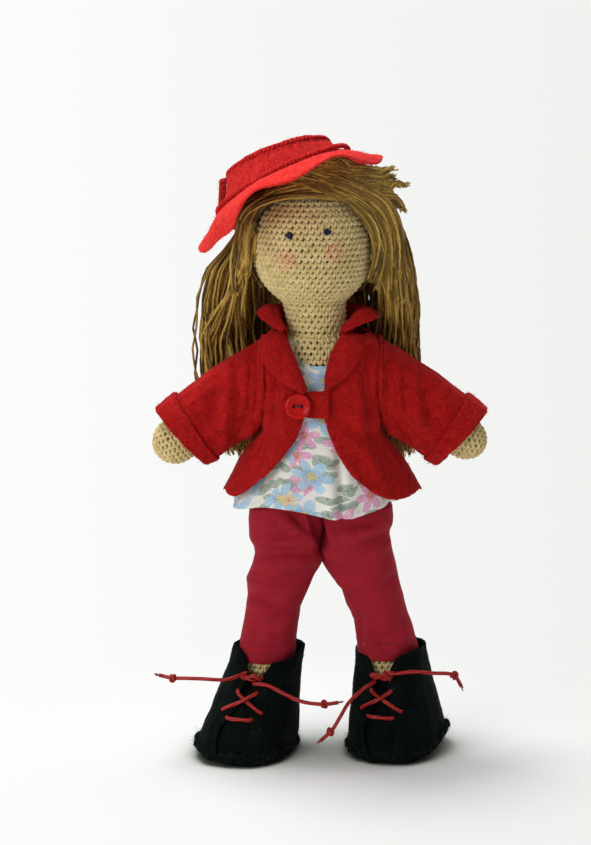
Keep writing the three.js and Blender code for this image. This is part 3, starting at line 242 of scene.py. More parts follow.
def smooth_route(points, count):
    """Evenly spaced points on a centripetal curve through the given ones."""
    given = [Vector(p) for p in points]
    ends = [given[0] * 2 - given[1]] + given + [given[-1] * 2 - given[-2]]
    fine = []
    for p0, p1, p2, p3 in zip(ends, ends[1:], ends[2:], ends[3:]):
        t1 = math.sqrt((p1 - p0).length)
        t2 = t1 + math.sqrt((p2 - p1).length)
        t3 = t2 + math.sqrt((p3 - p2).length)
        for k in range(16):
            t = t1 + (t2 - t1) * k / 16
            a1 = p0 * ((t1 - t) / t1) + p1 * (t / t1)
            a2 = p1 * ((t2 - t) / (t2 - t1)) + p2 * ((t - t1) / (t2 - t1))
            a3 = p2 * ((t3 - t) / (t3 - t2)) + p3 * ((t - t2) / (t3 - t2))
            b1 = a1 * ((t2 - t) / t2) + a2 * (t / t2)
            b2 = a2 * ((t3 - t) / (t3 - t1)) + a3 * ((t - t1) / (t3 - t1))
            fine.append(b1 * ((t2 - t) / (t2 - t1)) + b2 * ((t - t1) / (t2 - t1)))
    fine.append(given[-1])
    co = np.array(fine)
    steps = np.linalg.norm(np.diff(co, axis=0), axis=1)
    along = np.concatenate([[0], np.cumsum(steps)])
    wanted = np.linspace(0, along[-1], count)
    return np.stack([np.interp(wanted, along, co[:, k]) for k in range(3)], axis=1)


def route_length(points):
    return float(np.linalg.norm(np.diff(np.asarray(points)[:, :3], axis=0), axis=1).sum())


def linked(name, data):
    obj = bpy.data.objects.new(name, data)
    bpy.context.scene.collection.objects.link(obj)
    return obj


def made_of(shape, name):
    """A new object from a bmesh, which is used up."""
    mesh = bpy.data.meshes.new(name)
    shape.to_mesh(mesh)
    shape.free()
    return linked(name, mesh)


def set_camera():
    lens = bpy.data.cameras.new("camera")
    lens.sensor_width = FILM
    lens.lens = FOCAL
    lens.clip_start = 0.02
    lens.clip_end = 60
    camera = linked("camera", lens)
    back = Vector((0, -math.cos(CAMERA_DOWN), math.sin(CAMERA_DOWN))) * CAMERA_AWAY
    camera.location = (CAMERA_AIM + back) * MM
    camera.rotation_euler = (math.radians(90) - CAMERA_DOWN, 0, 0)
    bpy.context.scene.camera = camera


def settle(obj):
    """Applies what the modifiers make, and returns the piece as a mesh."""
    shape = obj.evaluated_get(bpy.context.evaluated_depsgraph_get())
    mesh = bpy.data.meshes.new_from_object(shape)
    mesh.name = obj.name
    if obj.type == "MESH":
        before = obj.data
        obj.modifiers.clear()
        obj.data = mesh
        bpy.data.meshes.remove(before)
        return obj
    name, before = obj.name, obj.data
    bpy.data.objects.remove(obj)
    bpy.data.curves.remove(before)
    return linked(name, mesh)


def read(items, what, width=3, kind=np.float32):
    """A number or a vector for each vertex, face or corner of a mesh."""
    values = np.zeros(len(items) * width, kind)
    items.foreach_get(what, values)
    return values.reshape(-1, width) if width > 1 else values


def points_of(obj):
    return read(obj.data.vertices, "co") / MM


def move_points(obj, co):
    obj.data.vertices.foreach_set("co", (np.asarray(co, np.float32) * MM).ravel())
    obj.data.update()


def normals_of(obj):
    return read(obj.data.vertex_normals, "vector")


def smooth_faces(obj):
    obj.data.polygons.foreach_set("use_smooth", np.ones(len(obj.data.polygons), bool))


def painted(obj, material):
    obj.data.materials.clear()
    obj.data.materials.append(material)
    return obj


def join(main, others):
    """Joins pieces into the first one, with their materials."""
    chosen = [main] + [o for o in others if o is not None]
    for o in bpy.context.selected_objects:
        o.select_set(False)
    with bpy.context.temp_override(active_object=main, object=main, selected_objects=chosen,
                                   selected_editable_objects=chosen):
        bpy.ops.object.join()
    return main


def threads(name, routes, radius, material, ring=6, shades=None):
    """Closed tubes along routes of (x, y, z) or (x, y, z, width), all one mesh."""
    curve = bpy.data.curves.new(name, "CURVE")
    curve.dimensions = "3D"
    curve.bevel_depth = radius * MM
    curve.bevel_resolution = (ring - 4) // 2
    curve.use_fill_caps = True
    for route in routes:
        route = np.asarray(route, float)
        line = curve.splines.new("POLY")
        line.points.add(len(route) - 1)
        co = np.ones((len(route), 4))
        co[:, :3] = route[:, :3] * MM
        line.points.foreach_set("co", co.ravel())
        if route.shape[1] > 3:
            line.points.foreach_set("radius", route[:, 3])
    obj = settle(linked(name, curve))
    lay_out(obj, routes, ring, shades)
    smooth_faces(obj)
    return painted(obj, material)


def lay_out(obj, routes, ring, shades):
    """Lays each tube out flat: round it, and along it in millimetres. Keeps a shade for each tube."""
    mesh = obj.data
    counts = [len(r) for r in routes]
    if len(mesh.vertices) != ring * sum(n + 2 for n in counts):
        raise ValueError(f"{obj.name}: {len(mesh.vertices)} points in {len(counts)} tubes")
    along = []
    for r in routes:
        co = np.asarray(r, float)[:, :3]
        run = np.concatenate([[0], np.cumsum(np.linalg.norm(np.diff(co, axis=0), axis=1))])
        along.append(np.concatenate([run, [run[0], run[-1]]]))
    run = np.repeat(np.concatenate(along), ring)
    side = np.tile(np.arange(ring), sum(n + 2 for n in counts))
    corners = read(mesh.loops, "vertex_index", 1, np.int32)
    u = side[corners].astype(float)
    totals = read(mesh.polygons, "loop_total", 1, np.int32)
    starts = read(mesh.polygons, "loop_start", 1, np.int32)
    quads = starts[totals == 4][:, None] + np.arange(4)
    sides = u[quads]
    over = (sides.max(axis=1) - sides.min(axis=1)) > ring / 2
    sides[over] = np.where(sides[over] == 0, ring, sides[over])
    u[quads] = sides
    layer = mesh.uv_layers.get("UVMap") or mesh.uv_layers.new(name="UVMap")
    layer.data.foreach_set("uv", np.stack([u / ring, run[corners]], axis=1).astype(np.float32).ravel())
    if shades is None:
        shades = [draw.random() for _ in routes]
    per_point = np.repeat(np.asarray(shades, np.float32), [ring * (n + 2) for n in counts])
    mesh.attributes.new("shade", "FLOAT", "POINT").data.foreach_set("value", per_point)
    shape = bmesh.new()
    shape.from_mesh(mesh)
    bmesh.ops.remove_doubles(shape, verts=shape.verts, dist=0.0002 * MM)
    shape.to_mesh(mesh)
    shape.free()


def copy_of(node, cloth):
    """A merged copy of a CAD node's mesh, named after the node and what it's made of."""
    shape = bmesh.new()
    shape.from_mesh(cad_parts[node].data)
    bmesh.ops.remove_doubles(shape, verts=shape.verts, dist=0.002 * MM)
    obj = made_of(shape, f"{node}_{cloth}")
    obj.data.materials.clear()
    for layer in list(obj.data.uv_layers):
        obj.data.uv_layers.remove(layer)
    return obj


def add_lumps(obj, lumps):
    """The lumps of soft cloth, each kind by its size and depth."""
    for size, depth in lumps:
        texture = bpy.data.textures.new("lumps", "CLOUDS")
        texture.noise_scale = size * MM
        texture.noise_depth = 1
        modifier = obj.modifiers.new("lumps", "DISPLACE")
        modifier.texture = texture
        modifier.texture_coords = "LOCAL"
        modifier.strength = depth * MM


def softened(obj, even, lumps, rounds=4):
    """Gives a piece an even mesh, rounded edges and the lumps of soft cloth."""
    modifier = obj.modifiers.new("even", "REMESH")
    modifier.mode = "VOXEL"
    modifier.voxel_size = even * MM
    modifier = obj.modifiers.new("round", "SMOOTH")
    modifier.factor = 0.6
    modifier.iterations = rounds
    add_lumps(obj, lumps)
    obj = settle(obj)
    smooth_faces(obj)
    return obj


def wrap(name, across, down, place, size, thick, hole=None):
    """A closed sheet of cloth round a form. place gives a point for a share round and a share up."""
    shape = bmesh.new()
    layer = shape.loops.layers.uv.new("UVMap")
    bmesh.ops.create_grid(shape, x_segments=across, y_segments=down, size=0.5, calc_uvs=True)
    for face in shape.faces:
        for loop in face.loops:
            u, v = loop[layer].uv
            loop[layer].uv = (u * size[0], v * size[1])
    for vert in shape.verts:
        vert.co = Vector(place(vert.co.x + 0.5, vert.co.y + 0.5)) * MM
    bmesh.ops.remove_doubles(shape, verts=shape.verts, dist=0.0001 * MM)
    if hole:
        hole(shape)
    obj = made_of(shape, name)
    modifier = obj.modifiers.new("thickness", "SOLIDIFY")
    modifier.thickness = thick * MM
    modifier.offset = -1
    return obj


def crease(co, out, start, end, width, depth, front):
    """A soft crease pressed into cloth along a line seen from the front, given as (x, z)."""
    p = np.array(start, float)
    d = np.array(end, float) - p
    flat = co[:, [0, 2]]
    t = np.clip(((flat - p) @ d) / (d @ d), 0, 1)
    gap = np.linalg.norm(flat - (p + t[:, None] * d), axis=1)
    fade = np.sin(np.pi * np.clip(0.12 + 0.76 * t, 0, 1))
    towards = -out[:, 1] if front else out[:, 1]
    facing = np.clip(towards * 1.6 + 0.2, 0, 1)
    dip = np.exp(-((gap / width) ** 2))
    ridge = np.exp(-(((gap - 1.9 * width) / width) ** 2))
    return co + out * ((-depth * dip + 0.45 * depth * ridge) * fade * facing)[:, None]


def creased(co, out, sign, lines, front=True):
    """Presses in each crease of a table, which gives x outwards from the doll's middle."""
    for (x1, z1), (x2, z2), width, depth in lines:
        co = crease(co, out, (sign * x1, z1), (sign * x2, z2), width, depth, front)
    return co


def surface_of(obj):
    return BVHTree.FromObject(obj, bpy.context.evaluated_depsgraph_get())


def onto(tree, point, lift=0.0):
    """The nearest place on a surface, lifted off it, and the way it faces."""
    spot, out, _, _ = tree.find_nearest(Vector(point) * MM)
    return spot / MM + out * lift, out


def line_stitches(tree, line, pitch, length, lift=0.22, slant=0.0, width=1.0):
    """Short stitches along a line, laid on a surface, each sunk at both ends."""
    total = route_length(line)
    count = max(1, int(total / pitch))
    even = smooth_route(line, count * 2 + 1) if len(line) > 2 else np.linspace(line[0], line[1], count * 2 + 1)
    made = []
    for k in range(count):
        here = Vector(even[2 * k + 1])
        way = (Vector(even[2 * k + 2]) - Vector(even[2 * k])).normalized()
        _, out = onto(tree, here)
        side = way.cross(out).normalized()
        way = (way * math.cos(slant) + side * math.sin(slant)).normalized()
        reach = length * (0.42 + 0.16 * draw.random())
        a, up_a = onto(tree, here - way * reach)
        b, up_b = onto(tree, here + way * reach)
        c, up_c = onto(tree, here)
        made.append([
            (*(a - up_a * 0.35), 0.7 * width), (*(a + up_a * 0.12), width), (*(c + up_c * lift), width),
            (*(b + up_b * 0.12), width), (*(b - up_b * 0.35), 0.7 * width),
        ])
    return made


def fuzz_on(obj, count, length, seed, material, width=0.045):
    """Loose fibres that stand off a surface, thin and bent."""
    faces = obj.data.polygons
    rng = np.random.default_rng(seed)
    areas = read(faces, "area", 1, float)
    centres = read(faces, "center", 3, float) / MM
    outs = read(faces, "normal", 3, float)
    picked = rng.choice(len(areas), count, p=areas / areas.sum())
    routes = []
    for k in picked:
        p, n = centres[k], outs[k]
        side = rng.normal(size=3)
        side -= n * (side @ n)
        side /= np.linalg.norm(side) + 1e-9
        size = length * rng.uniform(0.4, 1.2)
        bend = rng.normal(size=3) * 0.25 * size
        steps = [(-0.12, 0, 0), (0.36, 0.45, 0.15), (0.45, 1.1, 1)]
        routes.append([
            (*(p + n * up * size + side * over * size + bend * turn), w)
            for (up, over, turn), w in zip(steps, (1, 1, 0.35))
        ])
    return threads("fuzz", routes, width, material, ring=4)


# Materials
def paint(r, g, b):
    """A colour given as it looks on a screen, 0 to 255."""
    lit = [c / 255 for c in (r, g, b)]
    return (*[c / 12.92 if c <= 0.04045 else ((c + 0.055) / 1.055) ** 2.4 for c in lit], 1)


def add_node(tree, kind, inputs=None, **settings):
    """A new node with its inputs set or linked."""
    made = tree.nodes.new("ShaderNode" + kind)
    for key, value in settings.items():
        setattr(made, key, value)
    for key, value in (inputs or {}).items():
        if isinstance(value, bpy.types.NodeSocket):
            tree.links.new(value, made.inputs[key])
        else:
            made.inputs[key].default_value = value
    return made


def seen_directly(tree):
    """1 for what the camera, a mirror or glass sees, and 0 for scattered light."""
    path = add_node(tree, "LightPath").outputs
    seen = path["Is Camera Ray"]
    for kind in ("Is Glossy Ray", "Is Transmission Ray"):
        seen = add_node(tree, "Math", {0: seen, 1: path[kind]}, operation="MAXIMUM").outputs[0]
    return seen


class Finish:
    """A material built up from nodes."""

    def __init__(self, name, **sockets):
        self.material = bpy.data.materials.new(name)
        self.material.use_nodes = True
        self.tree = self.material.node_tree
        self.shader = self.tree.nodes["Principled BSDF"]
        for socket, value in sockets.items():
            self.shader.inputs[socket.replace("_", " ")].default_value = value
        self.place = self.node("TexCoord")

    def node(self, kind, inputs=None, **settings):
        return add_node(self.tree, kind, inputs, **settings)

    def where(self):
        return self.place.outputs["Object"]

    def flat(self):
        """The piece's own map, in millimetres for cloth and along threads."""
        return self.place.outputs["UV"]

    def stretched(self, across, along):
        return self.node("Mapping", {"Vector": self.flat(), "Scale": (across, along, 1)}).outputs[0]

    def twist(self, strands, pitch):
        """The strands round a yarn or cord, which take pitch millimetres to a turn."""
        u, v = self.parts(self.flat())[0:2]
        along = self.math("MULTIPLY", v, TURN / pitch)
        return self.math("SINE", self.math("MULTIPLY_ADD", u, TURN * strands, along))

    def math(self, operation, a, b=0.0, c=0.0, clamp=False):
        return self.node("Math", {0: a, 1: b, 2: c}, operation=operation, use_clamp=clamp).outputs[0]

    def noise(self, scale, detail=2.0, rough=0.5, warp=0.0, at=None):
        inputs = {"Vector": at or self.where(), "Scale": scale, "Detail": detail, "Roughness": rough,
                  "Distortion": warp}
        return self.node("TexNoise", inputs).outputs[0]

    def ramp(self, value, stops):
        made = self.node("ValToRGB", {0: value})
        band = made.color_ramp
        while len(band.elements) < len(stops):
            band.elements.new(0.5)
        for element, (at, colour) in zip(band.elements, stops):
            element.position = at
            element.color = colour
        return made.outputs[0]

    def step(self, value, low, high):
        inputs = {"Value": value, "From Min": low, "From Max": high}
        return self.node("MapRange", inputs, interpolation_type="SMOOTHSTEP").outputs[0]

    def mix(self, share, a, b):
        return self.node("Mix", {0: share, 6: a, 7: b}, data_type="RGBA").outputs[2]

    def parts(self, vector):
        return self.node("SeparateXYZ", {0: vector}).outputs

    def bump(self, height, strength, distance, under=None):
        inputs = {"Height": height, "Strength": strength, "Distance": distance * MM}
        if under is not None:
            inputs["Normal"] = under
        return self.node("Bump", inputs).outputs[0]

    def set(self, socket, value):
        self.tree.links.new(value, self.shader.inputs[socket])


def felt(name, dark, plain, light):
    f = Finish(name, Roughness=0.95, Specular_IOR_Level=0.15, Sheen_Weight=0.08, Sheen_Roughness=0.5,
               Sheen_Tint=paint(255, 110, 100))
    fibres = f.noise(2300, 3, 0.7, 1.8)
    tufts = f.noise(900, 3, 0.65, 1.2)
    patches = f.noise(300, 3, 0.6)
    mottled = f.math("ADD", f.math("MULTIPLY", fibres, 0.4), f.math("MULTIPLY", tufts, 0.42))
    mottled = f.math("ADD", mottled, f.math("MULTIPLY", patches, 0.2))
    f.set("Base Color", f.ramp(mottled, [(0.39, dark), (0.52, plain), (0.65, light)]))
    nap = f.bump(tufts, 0.8, 0.35)
    f.set("Normal", f.bump(fibres, 0.7, 0.16, nap))
    return f.material


def weave_height(f, pitch):
    """Threads over and under each other, from the cloth's own map in millimetres."""
    u, v = f.parts(f.flat())[0:2]
    warp = f.math("SINE", f.math("MULTIPLY", u, TURN / pitch))
    weft = f.math("SINE", f.math("MULTIPLY", v, TURN / pitch))
    return f.math("MULTIPLY", warp, weft)


def printed_cotton():
    """White cotton with a plain print of leaves and open flowers."""
    f = Finish("printed_cotton", Roughness=0.85, Specular_IOR_Level=0.2, Sheen_Weight=0.04, Sheen_Roughness=0.5)
    ground = f.ramp(f.noise(60, 2, 0.5), [(0.3, paint(226, 224, 214)), (0.7, paint(242, 240, 232))])
    speck = f.noise(1.9, 2, 0.7, 0.3, at=f.flat())
    wash = f.noise(0.28, 2, 0.6, 0.4, at=f.flat())
    colour = ground

    def blooms(colour, scale, shift, stretch, petals, reach, keep, inner, outer, heart=None, turn=0.0):
        """One kind of flower or leaf, in some of the cells of a scattered pattern."""
        moved = f.node("Mapping", {"Vector": f.flat(), "Location": (shift, shift * 0.6, 0),
                                   "Rotation": (0, 0, turn), "Scale": (1, stretch, 1)}).outputs[0]
        cells = f.node("TexVoronoi", {"Vector": moved, "Scale": scale, "Randomness": 0.8},
                       voronoi_dimensions="2D")
        gap = f.node("VectorMath", {0: moved, 1: cells.outputs["Position"]}, operation="SUBTRACT").outputs[0]
        x, y = f.parts(gap)[0:2]
        lot = f.node("SeparateColor", {0: cells.outputs["Color"]}).outputs
        spin = f.math("MULTIPLY", lot[1], TURN)
        around = f.math("ADD", f.math("ARCTAN2", y, x), spin)
        far = f.node("VectorMath", {0: gap}, operation="LENGTH").outputs["Value"]
        lobes = f.math("ABSOLUTE", f.math("COSINE", f.math("MULTIPLY", around, petals / 2)))
        edge = f.math("MULTIPLY_ADD", lobes, 0.62 * reach, 0.38 * reach)
        edge = f.math("ADD", edge, f.math("MULTIPLY", f.math("SUBTRACT", speck, 0.5), reach * 0.5))
        inside = f.step(f.math("SUBTRACT", edge, far), -0.12, 0.35)
        chosen = f.math("MULTIPLY", f.math("GREATER_THAN", lot[0], keep[0]),
                        f.math("LESS_THAN", lot[0], keep[1]))
        fade = f.math("MULTIPLY_ADD", speck, 0.9, f.math("DIVIDE", far, reach * 1.4), clamp=True)
        tone = f.mix(f.step(fade, 0.35, 1.0), inner, outer)
        share = f.math("MULTIPLY", inside, chosen)
        share = f.math("MULTIPLY", share, f.math("MULTIPLY_ADD", wash, 0.5, 0.62, clamp=True))
        colour = f.mix(share, colour, tone)
        if heart:
            spot = f.math("MULTIPLY", f.math("LESS_THAN", far, reach * 0.24), chosen)
            eye = f.mix(f.math("GREATER_THAN", speck, 0.52), heart[0], heart[1])
            colour = f.mix(f.math("MULTIPLY", spot, 0.9), colour, eye)
        return colour

    leaf = (paint(58, 92, 74), paint(120, 150, 126))
    colour = blooms(colour, 0.075, 3.1, 2.0, 2, 6.4, (0.3, 0.95), *leaf, turn=0.9)
    colour = blooms(colour, 0.07, 21.4, 2.2, 2, 5.6, (0.0, 0.42), *leaf, turn=-0.6)
    colour = blooms(colour, 0.068, 40.3, 1, 6, 7.4, (0.36, 1), paint(198, 24, 122), paint(228, 128, 190),
                    (paint(190, 30, 60), paint(214, 120, 40)))
    colour = blooms(colour, 0.066, 7.7, 1, 6, 8.6, (0.4, 1), paint(48, 132, 198), paint(146, 200, 230),
                    (paint(222, 196, 66), paint(110, 146, 60)))
    colour = blooms(colour, 0.06, 63.2, 1, 5, 3.6, (0.74, 1), paint(222, 162, 50), paint(232, 196, 110),
                    (paint(190, 90, 60), paint(222, 168, 60)))
    over = weave_height(f, 0.7)
    # Little of the dye reaches into the cloth, so the ground shows through in specks
    worn = f.step(f.noise(1.3, 3, 0.75, 0.6, at=f.flat()), 0.46, 0.66)
    colour = f.mix(f.math("MULTIPLY", worn, 0.62), colour, ground)
    f.set("Base Color", f.mix(f.math("MULTIPLY_ADD", over, 0.1, 0.1, clamp=True), colour, paint(255, 255, 250)))
    f.set("Normal", f.bump(over, 0.35, 0.12))
    return f.material


def crimson_cotton():
    f = Finish("crimson_cotton", Roughness=0.85, Specular_IOR_Level=0.2, Sheen_Weight=0.05, Sheen_Roughness=0.4,
               Sheen_Tint=paint(255, 120, 140))
    slub = f.noise(0.9, 2, 0.6, at=f.stretched(3.2, 0.35))
    cross = f.noise(0.9, 2, 0.6, at=f.stretched(0.3, 3.4))
    tone = f.math("MULTIPLY_ADD", slub, 0.5, f.math("MULTIPLY", cross, 0.5))
    colour = f.ramp(tone, [(0.34, paint(138, 16, 32)), (0.5, paint(150, 21, 38)), (0.66, paint(162, 28, 46))])
    over = weave_height(f, 0.5)
    f.set("Base Color", f.mix(f.math("MULTIPLY_ADD", over, 0.06, 0.06, clamp=True), colour, paint(168, 36, 52)))
    f.set("Normal", f.bump(over, 0.3, 0.1))
    return f.material


def knitting_yarn():
    f = Finish("knitting_yarn", Roughness=0.82, Sheen_Weight=0.2, Sheen_Roughness=0.4)
    ply = f.twist(3, 2.4)
    shade = f.node("Attribute", attribute_name="shade").outputs["Fac"]
    plain = f.ramp(shade, [(0, paint(198, 173, 109)), (0.5, paint(210, 186, 122)), (1, paint(222, 200, 139))])
    fibre = f.noise(2300, 2, 0.6)
    plain = f.mix(f.math("MULTIPLY", fibre, 0.35), plain, paint(238, 220, 168))
    # The dye is warmer on one side of the forehead
    x, _, z = f.parts(f.where())
    warm = f.math("MULTIPLY", f.step(x, -0.001, -0.024), f.step(z, 0.231, 0.246))
    plain = f.mix(f.math("MULTIPLY", warm, 0.7), plain, paint(204, 158, 102))
    dusty = f.noise(520, 2, 0.7)
    for spot in BLUSH:
        away = f.node("VectorMath", {0: f.where(), 1: Vector(spot) * MM}, operation="DISTANCE").outputs["Value"]
        near = f.step(away, 0.0088, 0.002)
        pink = f.math("MULTIPLY", near, f.step(f.math("MULTIPLY_ADD", near, 0.16, dusty), 0.5, 0.72))
        plain = f.mix(f.math("MULTIPLY", pink, 0.68), plain, paint(230, 146, 126))
    # The grooves between the plies are painted darker: painted shade
    f.set("Base Color", f.mix(f.math("MULTIPLY", f.step(ply, -0.3, -1.0), 0.4), plain, paint(160, 132, 80)))
    f.set("Normal", f.bump(ply, 0.35, 0.2))
    return f.material


def knit_ground_painted_shade():
    # The dark brown is painted shade, for the gaps between the stitches
    f = Finish("knit_ground_painted_shade", Roughness=0.95)
    f.set("Base Color", f.ramp(f.noise(700, 2, 0.6), [(0.3, paint(84, 64, 32)), (0.7, paint(124, 100, 56))]))
    f.set("Normal", f.bump(f.noise(900, 2), 0.5, 0.3))
    return f.material


def hair_yarn():
    f = Finish("hair_yarn", Roughness=0.62, Specular_IOR_Level=0.3, Sheen_Weight=0.12, Sheen_Roughness=0.35,
               Sheen_Tint=paint(255, 225, 160))
    ply = f.twist(2, 3.2)
    shade = f.node("Attribute", attribute_name="shade").outputs["Fac"]
    # The shade attribute is each strand's tone: partly random, and partly painted shade for how deep the strand
    # lies
    tone = f.math("MULTIPLY_ADD", f.noise(130, 2, 0.5), 0.36, f.math("MULTIPLY", shade, 0.7))
    colour = f.ramp(tone, [(0.2, paint(66, 48, 14)), (0.42, paint(134, 103, 38)), (0.66, paint(184, 146, 60)),
                           (0.95, paint(218, 182, 92))])
    # The grooves between the plies are painted darker: painted shade
    shaded = f.math("MULTIPLY", f.step(ply, 0.0, -1.0), 0.45)
    f.set("Base Color", f.mix(shaded, colour, paint(104, 76, 28)))
    hairs = f.noise(1.0, 2, 0.6, at=f.stretched(9, 0.8))
    f.set("Normal", f.bump(ply, 0.35, 0.25, f.bump(hairs, 0.4, 0.1)))
    return f.material


def black_suede():
    f = Finish("black_suede", Roughness=0.98, Specular_IOR_Level=0.06, Sheen_Weight=0.02, Sheen_Roughness=0.6,
               Sheen_Tint=paint(150, 190, 180))
    nap = f.noise(1300, 3, 0.7, 0.5)
    rubbed = f.noise(110, 3, 0.6)
    tone = f.math("MULTIPLY_ADD", nap, 0.55, f.math("MULTIPLY", rubbed, 0.5))
    colour = f.ramp(tone, [(0.38, paint(3, 7, 6)), (0.58, paint(8, 15, 13)), (0.76, paint(26, 34, 30))])
    dust = f.node("TexVoronoi", {"Vector": f.where(), "Scale": 420.0}).outputs["Distance"]
    f.set("Base Color", f.mix(f.math("MULTIPLY", f.step(dust, 0.1, 0.04), f.step(rubbed, 0.5, 0.62)), colour,
                              paint(96, 92, 74)))
    f.set("Normal", f.bump(nap, 0.7, 0.25, f.bump(rubbed, 0.4, 0.5)))
    return f.material


def grey_card():
    f = Finish("grey_card", Roughness=0.9)
    f.set("Base Color", f.ramp(f.noise(500, 3, 0.7), [(0.3, paint(108, 96, 78)), (0.7, paint(140, 126, 104))]))
    f.set("Normal", f.bump(f.noise(900, 2), 0.3, 0.1))
    return f.material


def waxed_cord():
    f = Finish("waxed_cord", Roughness=0.55, Specular_IOR_Level=0.35)
    strand = f.twist(3, 9)
    braid = f.twist(5, -1.1)
    # The twist darkens the tone in the grooves between strands: painted shade over a random tone
    tone = f.math("MULTIPLY_ADD", f.noise(700, 2, 0.6), 0.5, f.math("MULTIPLY_ADD", strand, 0.2, 0.25))
    colour = f.ramp(tone, [(0.2, paint(96, 8, 8)), (0.5, paint(160, 20, 18)), (0.8, paint(188, 42, 32))])
    f.set("Base Color", colour)
    f.set("Normal", f.bump(strand, 0.6, 0.25, f.bump(braid, 0.25, 0.08)))
    return f.material


def thread(name, dark, light):
    f = Finish(name, Roughness=0.7)
    ply = f.twist(2, 0.8)
    # The ply's grooves take the dark colour and its crests the light one: painted shade
    f.set("Base Color", f.mix(f.step(ply, -1, 1), dark, light))
    f.set("Normal", f.bump(ply, 0.5, 0.1))
    return f.material


def plastic(name, deep, plain, rough):
    f = Finish(name, Roughness=rough, Specular_IOR_Level=0.16)
    swirl = f.noise(120, 2, 0.5, 1.5)
    f.set("Base Color", f.ramp(swirl, [(0.3, deep), (0.7, plain)]))
    f.set("Normal", f.bump(f.noise(260, 1), 0.04, 0.2))
    return f.material


HAT_FELT = felt("hat_felt", paint(150, 16, 18), paint(200, 32, 32), paint(226, 62, 54))
# The brim is the hat's felt painted lighter, as its top faces the light: painted light
LIT_BRIM_FELT = felt("lit_brim_felt", paint(194, 28, 28), paint(228, 46, 42), paint(246, 84, 74))
COAT_FELT = felt("coat_felt", paint(120, 5, 7), paint(168, 14, 15), paint(196, 38, 30))
FELT_HAIR = thread("felt_hair", paint(150, 14, 16), paint(200, 44, 40))
PALE_HAIR = thread("pale_hair", paint(206, 110, 96), paint(226, 160, 140))
HAT_THREAD = thread("hat_thread", paint(104, 12, 16), paint(150, 26, 28))
WHITE_THREAD = thread("white_thread", paint(214, 214, 206), paint(236, 236, 230))
DARK_THREAD = thread("dark_thread", paint(66, 8, 14), paint(110, 20, 26))
HEM_THREAD = thread("hem_thread", paint(92, 12, 30), paint(124, 24, 44))
LASH_THREAD = thread("lash_thread", paint(12, 14, 30), paint(30, 34, 62))
PRINT = printed_cotton()
CRIMSON = crimson_cotton()
YARN = knitting_yarn()
PAINTED_SHADE_GROUND = knit_ground_painted_shade()
HAIR = hair_yarn()
SUEDE = black_suede()
SUEDE_HAIR = thread("suede_hair", paint(10, 16, 15), paint(34, 42, 40))
CARD = grey_card()
CORD = waxed_cord()
BUTTON_RED = plastic("button_red", paint(176, 4, 6), paint(196, 7, 8), 0.2)
BEAD_BLUE = plastic("bead_blue", paint(3, 3, 12), paint(10, 10, 52), 0.12)


def dress(obj, body, slot, *nodes):
    """Hides a piece's CAD nodes and hangs the finished piece on its body in their place; a piece between two
    bodies is only set where it lies.
    """
    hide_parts(*nodes)
    if isinstance(body, str):
        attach(obj, body)
    else:
        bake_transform(obj)
    return obj


def cloth(obj, width, length, share, held, *under):
    """Takes what a sheet was cut to, in millimetres, and the share of that oblong that it fills, and does
    nothing with them.
    """


# Laces
def boot_place(side):
    boot = BOOTS[side]
    shift = (boot["rim"][0] - boot["sole"][0], boot["rim"][1] - boot["sole"][1])
    c, s = math.cos(boot["yaw"]), math.sin(boot["yaw"])
    low, high = BOOT_WALL[0][0], BOOT_WALL[-1][0]

    def place(x, y, z):
        lean = max(0, z - low) / (high - low)
        return Vector((
            boot["sole"][0] + shift[0] * lean + x * c - y * s,
            boot["sole"][1] + shift[1] * lean + x * s + y * c,
            z,
        ))

    return place


def on_boot(side, x, z, off):
    half, front, _, square = row_at(BOOT_WALL, z)
    angle = math.copysign(math.asin(min(1, abs(x) / half) ** (square / 2)), x)
    across = (half + off) * super_sin(angle, square)
    return boot_place(side)(across, -(front + off) * super_cos(angle, square), z)


def lacing(side, start, end, rise, peak=0.5):
    top = CORD_R + 0.25
    stops = [(0, -0.55), (0.05, 0.5), (0.2, top), (peak, top + rise), (0.84, top), (0.95, 0.5), (1, -0.55)]
    points = []
    for t, off in stops:
        x = start[0] + (end[0] - start[0]) * t
        z = start[1] + (end[1] - start[1]) * t
        points.append(on_boot(side, x, z, off))
    return smooth_route(points, 26)


def knot_route(spot, way, radius):
    """An overhand knot drawn tight about a cord that runs along way."""
    way = Vector(way).normalized()
    side = way.cross(Vector((0.3, -0.5, 1))).normalized()
    other = way.cross(side)
    points = []
    for k in range(44):
        t = TURN * k / 43
        reach = radius * (0.72 + 0.36 * math.cos(3 * t))
        ahead = 0.62 * radius * math.sin(3 * t)
        points.append(Vector(spot) + (side * math.cos(2 * t) + other * math.sin(2 * t)) * reach + way * ahead)
    return np.array(points)


def frayed(route, count, spread, length):
    """Loose yarns that spring from the cut end of a cord."""
    tip = Vector(route[-1][:3])
    way = (tip - Vector(route[-3][:3])).normalized()
    made = []
    for _ in range(count):
        out = Vector([draw.gauss(0, 1) for _ in range(3)]).normalized() * spread
        size = length * draw.uniform(0.5, 1.1)
        made.append([
            (*(tip - way * 0.8), 1), (*(tip + way * size * 0.3 + out * 0.3), 1),
            (*(tip + way * size * 0.7 + out * 0.7), 0.8), (*(tip + way * size + out), 0.4),
        ])
    return made


